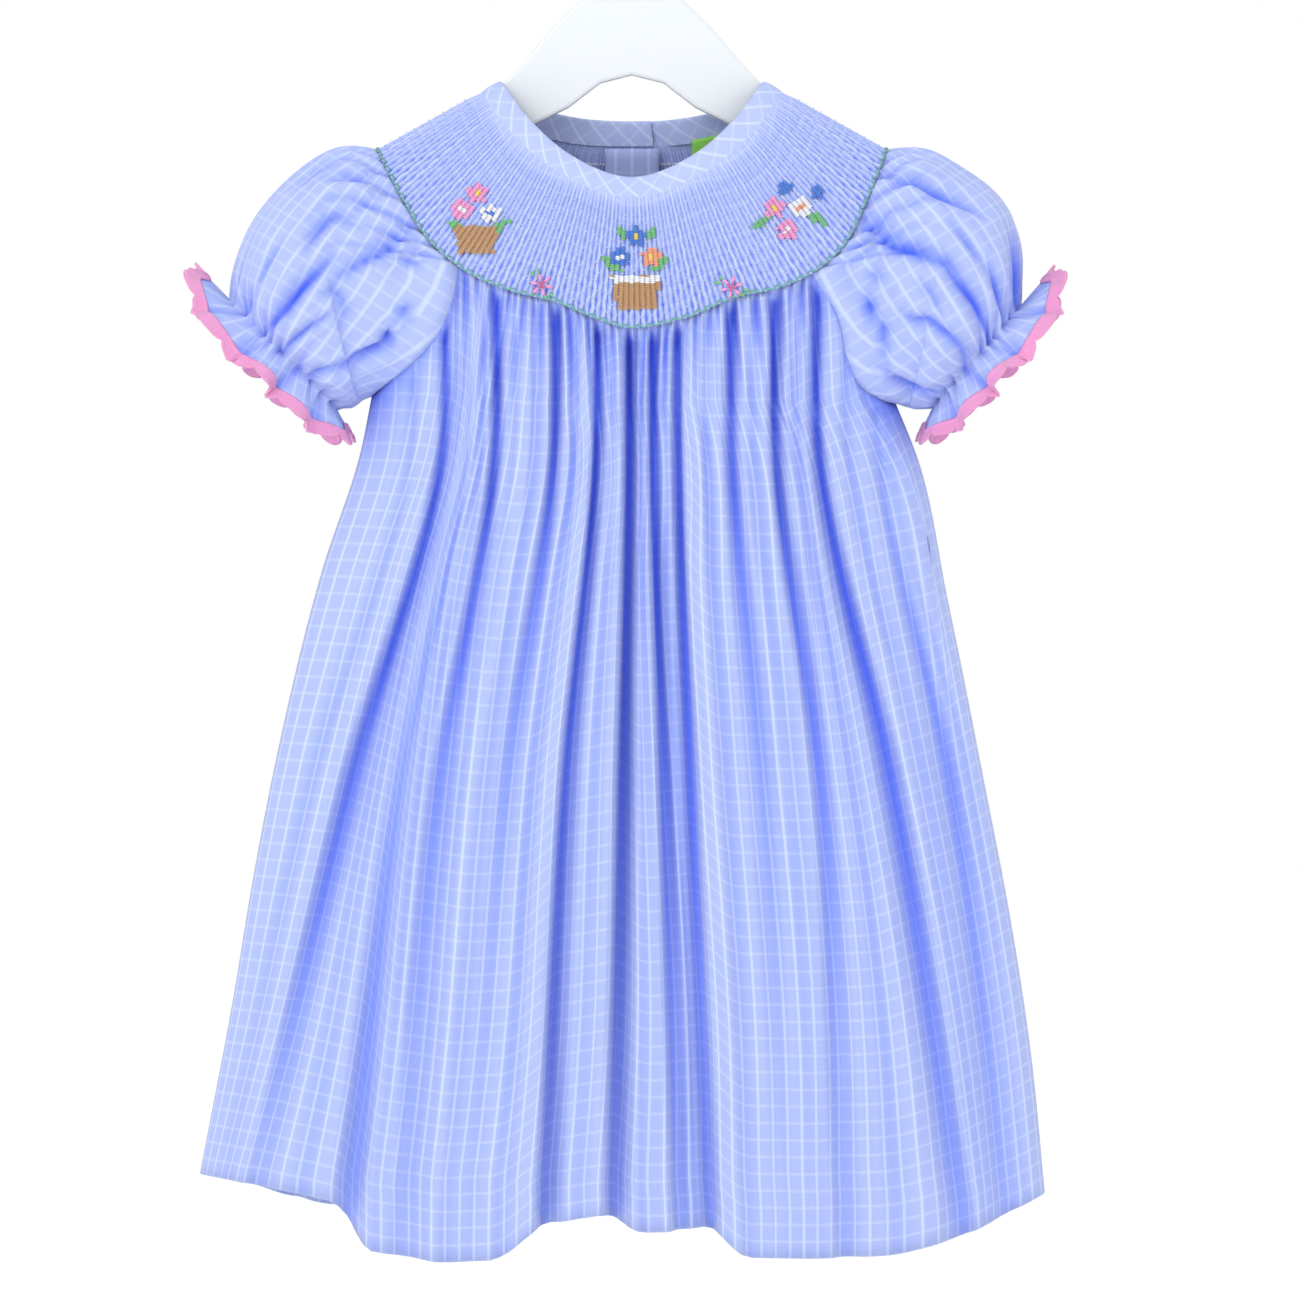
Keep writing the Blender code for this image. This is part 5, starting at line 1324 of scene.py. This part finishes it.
# Embroidered posies: each patch is an oval petal, a pointed leaf or a basket side, laid at (x, drop)
POSY_LEFT = (
    Patch("leaf", -82.0, 70.0, 6.0, 2.0, 30.0, "green"), Patch("leaf", -62.0, 70.0, 6.5, 2.0, -35.0, "green"),
    Patch("basket", -73.0, 76.0, 9.5, 6.5, 0.0, "tan"),
    Patch("petal", -80.0, 62.0, 5.5, 5.0, 0.0, "pink"), Patch("petal", -80.0, 62.0, 1.9, 1.8, 0.0, "white"),
    Patch("petal", -66.5, 63.5, 5.2, 5.0, 0.0, "white"), Patch("petal", -66.5, 63.5, 1.9, 1.8, 0.0, "blue"),
    Patch("petal", -72.5, 54.0, 5.5, 5.2, 0.0, "pink"), Patch("petal", -72.5, 54.0, 1.9, 1.8, 0.0, "yellow"),
)
POSY_CENTRE = (
    Patch("leaf", -9.0, 88.0, 6.0, 2.2, 35.0, "green"), Patch("leaf", 13.0, 88.0, 6.0, 2.2, -35.0, "green"),
    Patch("basket", 2.0, 101.0, 10.5, 8.0, 0.0, "tan"), Patch("basket", 2.0, 95.0, 11.5, 1.6, 0.0, "white"),
    Patch("petal", -5.5, 84.5, 5.4, 5.0, 0.0, "blue"), Patch("petal", -5.5, 84.5, 1.8, 1.7, 0.0, "white"),
    Patch("petal", 9.5, 84.5, 5.4, 5.0, 0.0, "coral"), Patch("petal", 9.5, 84.5, 1.8, 1.7, 0.0, "yellow"),
    Patch("petal", 2.0, 75.0, 5.2, 5.2, 0.0, "blue"), Patch("petal", 2.0, 75.0, 1.9, 1.8, 0.0, "yellow"),
    Patch("leaf", -5.0, 73.0, 4.4, 1.7, 60.0, "green"), Patch("leaf", 9.5, 73.0, 4.4, 1.7, -60.0, "green"),
)
POSY_RIGHT = (
    Patch("leaf", 60.5, 68.0, 5.6, 1.9, -30.0, "green"), Patch("leaf", 87.0, 66.0, 5.6, 1.9, 35.0, "green"),
    Patch("petal", 67.0, 61.0, 5.8, 5.4, 0.0, "pink"), Patch("petal", 67.0, 61.0, 2.0, 1.8, 0.0, "yellow"),
    Patch("petal", 79.5, 61.0, 5.6, 5.2, 0.0, "white"), Patch("petal", 79.5, 61.0, 1.9, 1.8, 0.0, "coral"),
    Patch("petal", 73.0, 71.5, 5.6, 5.2, 0.0, "pink"), Patch("petal", 73.0, 71.5, 1.9, 1.8, 0.0, "white"),
    Patch("petal", 72.0, 51.5, 3.8, 3.6, 0.0, "blue"), Patch("petal", 87.0, 53.5, 3.6, 3.4, 0.0, "blue"),
)


def patch_covers(patch, x, drop):
    """True where a patch covers a place."""
    turn = math.radians(patch.turn)
    across = ((x - patch.x) * math.cos(turn) + (drop - patch.drop) * math.sin(turn)) / patch.half_width
    down = (-(x - patch.x) * math.sin(turn) + (drop - patch.drop) * math.cos(turn)) / patch.half_height
    if patch.kind == "leaf":
        return abs(across) < 1 and abs(down) < 1 - across * across
    if patch.kind == "basket":
        return abs(down) < 1 and abs(across) < 1 - 0.14 * down
    angle = math.atan2(down, across)
    return math.hypot(across, down) < 0.86 + 0.16 * math.cos(5 * angle + 1.5)


def embroider(name, patches):
    """Rows of short stitches over the pleats wherever a patch covers them."""
    threads = {}
    first = int(PLEATS * 0.27)
    last = int(PLEATS * 0.73)
    for number in range(first, last):
        around = number / PLEATS
        height = float(np.linalg.norm(on_ring("stitch", around) - on_ring("seam", around)))
        rows = int(height / 1.0)
        downs = (np.arange(rows) + 0.5 * (number % 2) + 0.25) / rows
        places = yoke_points(np.full(rows, around), downs)
        for down, place in zip(downs, places):
            covering = [patch.floss for patch in patches if patch_covers(patch, place[0], place[2])]
            if covering and down < 0.97:
                length = pitch_at(around, down) * 1.3
                matrix = stitch_matrix(around, down, length, 1.2, 0.0, 2.2)
                threads.setdefault(covering[-1], []).append(matrix)
    return [sew(f"{name}_{floss}", matrices, floss) for floss, matrices in sorted(threads.items())]


def place_on_yoke(x, drop):
    """The (around, down) on the front of the yoke that shows at a place."""
    arounds, downs = np.meshgrid(np.linspace(0.3, 0.7, 401), np.linspace(0.0, 1.0, 101))
    points = yoke_points(arounds, downs)
    apart = (points[..., 0] - x) ** 2 + (points[..., 2] - drop) ** 2
    nearest = np.unravel_index(np.argmin(apart), apart.shape)
    return float(arounds[nearest]), float(downs[nearest])


def pink_flower(name, x, drop):
    """A small flower of long stitches round a knotted middle, with two leaves."""
    around, down = place_on_yoke(x, drop)
    place, round_way, down_way, outward = yoke_frame(around, down)
    threads = {"pink": [], "deep_pink": [], "green": []}
    shapes = [("pink", angle, 3.6, 4.6, 1.7, 2.5) for angle in range(0, 360, 60)]
    shapes += [("deep_pink", angle, 1.2, 1.9, 1.3, 3.1) for angle in range(30, 390, 90)]
    shapes += [("green", 215, 7.2, 4.4, 1.4, 2.3), ("green", 240, 6.4, 3.8, 1.3, 2.3),
               ("green", 30, 7.2, 4.4, 1.4, 2.3), ("green", 55, 6.4, 3.6, 1.3, 2.3)]
    for floss, angle, away, length, width, lift in shapes:
        turn = math.radians(angle)
        way = round_way * math.cos(turn) + down_way * math.sin(turn)
        across = np.cross(outward, way)
        middle = place + (way * away + outward * lift) * MM
        matrix = Matrix.Identity(4)
        for k, (direction, size) in enumerate(((way, length), (across, width), (outward, 1.0))):
            for axis in range(3):
                matrix[axis][k] = direction[axis] * size * MM / 2
        for axis in range(3):
            matrix[axis][3] = middle[axis]
        threads[floss].append(matrix)
    return [sew(f"{name}_{floss}", matrices, floss) for floss, matrices in threads.items()]


def button_threads():
    """Crossed threads in the sunk middle of each button."""
    matrices = []
    for number in (1, 2, 3):
        low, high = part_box(f"button_{number}")
        centre = (Vector(low) + Vector(high)) / 2
        back = Vector(high).y - 0.0008
        for turn in (45.0, -45.0):
            spin = Matrix.Rotation(math.radians(turn), 4, "Y")
            shape = Matrix.Diagonal((0.0017, 0.0004, 0.0005, 1.0))
            matrices.append(Matrix.Translation((centre.x, back, centre.z)) @ spin @ shape)
    return sew("button_threads", matrices, "white")


def build_cloth():
    """All cloth pieces that were cut as sheets, and the crochet edgings."""
    cloth = [
        yoke("yoke_front", RAGLAN_FRONT_LEFT, RAGLAN_FRONT_RIGHT, "front_smocking"),
        yoke("yoke_sleeve_left", RAGLAN_BACK_LEFT, RAGLAN_FRONT_LEFT, "sleeve_left_smocking"),
        yoke("yoke_sleeve_right", RAGLAN_FRONT_RIGHT, RAGLAN_BACK_RIGHT, "sleeve_right_smocking"),
        yoke("yoke_back_left", 0.0002, RAGLAN_BACK_LEFT, "back_left_smocking"),
        yoke("yoke_back_right", RAGLAN_BACK_RIGHT, 0.9998, "back_right_smocking"),
        skirt("skirt_front", FRONT_PANEL, 0.0, 1.0, "front"),
        skirt("skirt_back_left", BACK_PANEL, 0.0, 0.5, "back_left"),
        skirt("skirt_back_right", BACK_PANEL, 0.5, 1.0, "back_right"),
    ]
    for side, sleeve in SLEEVES.items():
        cloth.append(puff_sleeve(side, sleeve))
        crochet_edging(side, sleeve)
    cloth.append(bias_band())
    half = PLACKET_WIDTH / 2
    cloth.append(back_strip("placket_outside", -half, half, PLACKET_TOP, PLACKET_END, 3.1, CLOTH_MATERIAL,
                            "placket_over", 60, 14, 0.15))
    cloth.append(back_strip("placket_inside", -half, half, PLACKET_TOP, PLACKET_END, -3.1, CLOTH_MATERIAL,
                            "placket_under", 60, 14, 0.15))
    cloth.append(back_strip("bare_label", LABEL_LEFT, LABEL_LEFT + LABEL_WIDTH, LABEL_TOP,
                            LABEL_TOP + LABEL_LENGTH, -3.4, LABEL_MATERIAL, "label",
                            12, 14, 0.25, 4.5))
    return cloth


def build_camera():
    """The camera at the photograph's viewing angle, looking along +Y."""
    data = bpy.data.cameras.new("front_camera")
    data.sensor_width = 36.0
    distance = 3.0
    data.lens = 36.0 * distance / 0.6196
    camera = bpy.data.objects.new("front_camera", data)
    camera.location = (0.0086, -distance, -0.374)
    camera.rotation_euler = (math.pi / 2, 0.0, 0.0)
    bpy.context.scene.collection.objects.link(camera)
    bpy.context.scene.camera = camera


def area_light(name, place, target, size, power):
    """A soft rectangular light aimed at a target."""
    data = bpy.data.lights.new(name, "AREA")
    data.shape = "RECTANGLE"
    data.size, data.size_y = size
    data.energy = power
    light = bpy.data.objects.new(name, data)
    light.location = place
    aim = Vector(target) - Vector(place)
    light.rotation_euler = aim.to_track_quat("-Z", "Y").to_euler()
    bpy.context.scene.collection.objects.link(light)


def build_studio():
    """Wide pale floor under white air, and soft lights."""
    sweep = bmesh.new()
    bmesh.ops.create_circle(sweep, cap_ends=True, segments=96, radius=9.0,
                            matrix=Matrix.Translation((0.0, 0.0, -0.80)))
    paper = bpy.data.materials.new("white_paper")
    paper.use_nodes = True
    shader = paper.node_tree.nodes["Principled BSDF"]
    shader.inputs["Base Color"].default_value = (0.92, 0.92, 0.92, 1.0)
    shader.inputs["Roughness"].default_value = 0.9
    shader.inputs["Emission Color"].default_value = (1.0, 1.0, 1.0, 1.0)
    shader.inputs["Emission Strength"].default_value = 0.12
    place_mesh(sweep, "studio_floor", paper)
    world = bpy.data.worlds.new("studio_air")
    world.use_nodes = True
    world.node_tree.nodes["Background"].inputs["Color"].default_value = (1.0, 1.0, 1.0, 1.0)
    world.node_tree.nodes["Background"].inputs["Strength"].default_value = 1.0
    bpy.context.scene.world = world
    area_light("key_softbox", (-1.3, -2.4, 0.9), (0.0, 0.0, -0.35), (1.8, 1.8), 32.0)
    area_light("fill_softbox", (1.6, -2.2, 0.3), (0.0, 0.0, -0.35), (1.8, 1.8), 8.0)
    bpy.context.scene.view_settings.view_transform = "Standard"


def finish_hard_pieces():
    """Finishes of the hanger and the buttons, whose solids stay."""
    for name, surface in (("hanger", HANGER_MATERIAL), ("button_1", BUTTON_MATERIAL),
                          ("button_2", BUTTON_MATERIAL), ("button_3", BUTTON_MATERIAL)):
        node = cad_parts[name]
        node.data.materials.clear()
        node.data.materials.append(surface)


build_cloth()
smocking_stitches()
stitch_row_stitches()
inside_back_stitches()
embroider("posy_left", POSY_LEFT)
embroider("posy_centre", POSY_CENTRE)
embroider("posy_right", POSY_RIGHT)
pink_flower("flower_left", -42.4, 97.2)
pink_flower("flower_right", 46.7, 98.6)
button_threads()
finish_hard_pieces()
build_camera()
build_studio()
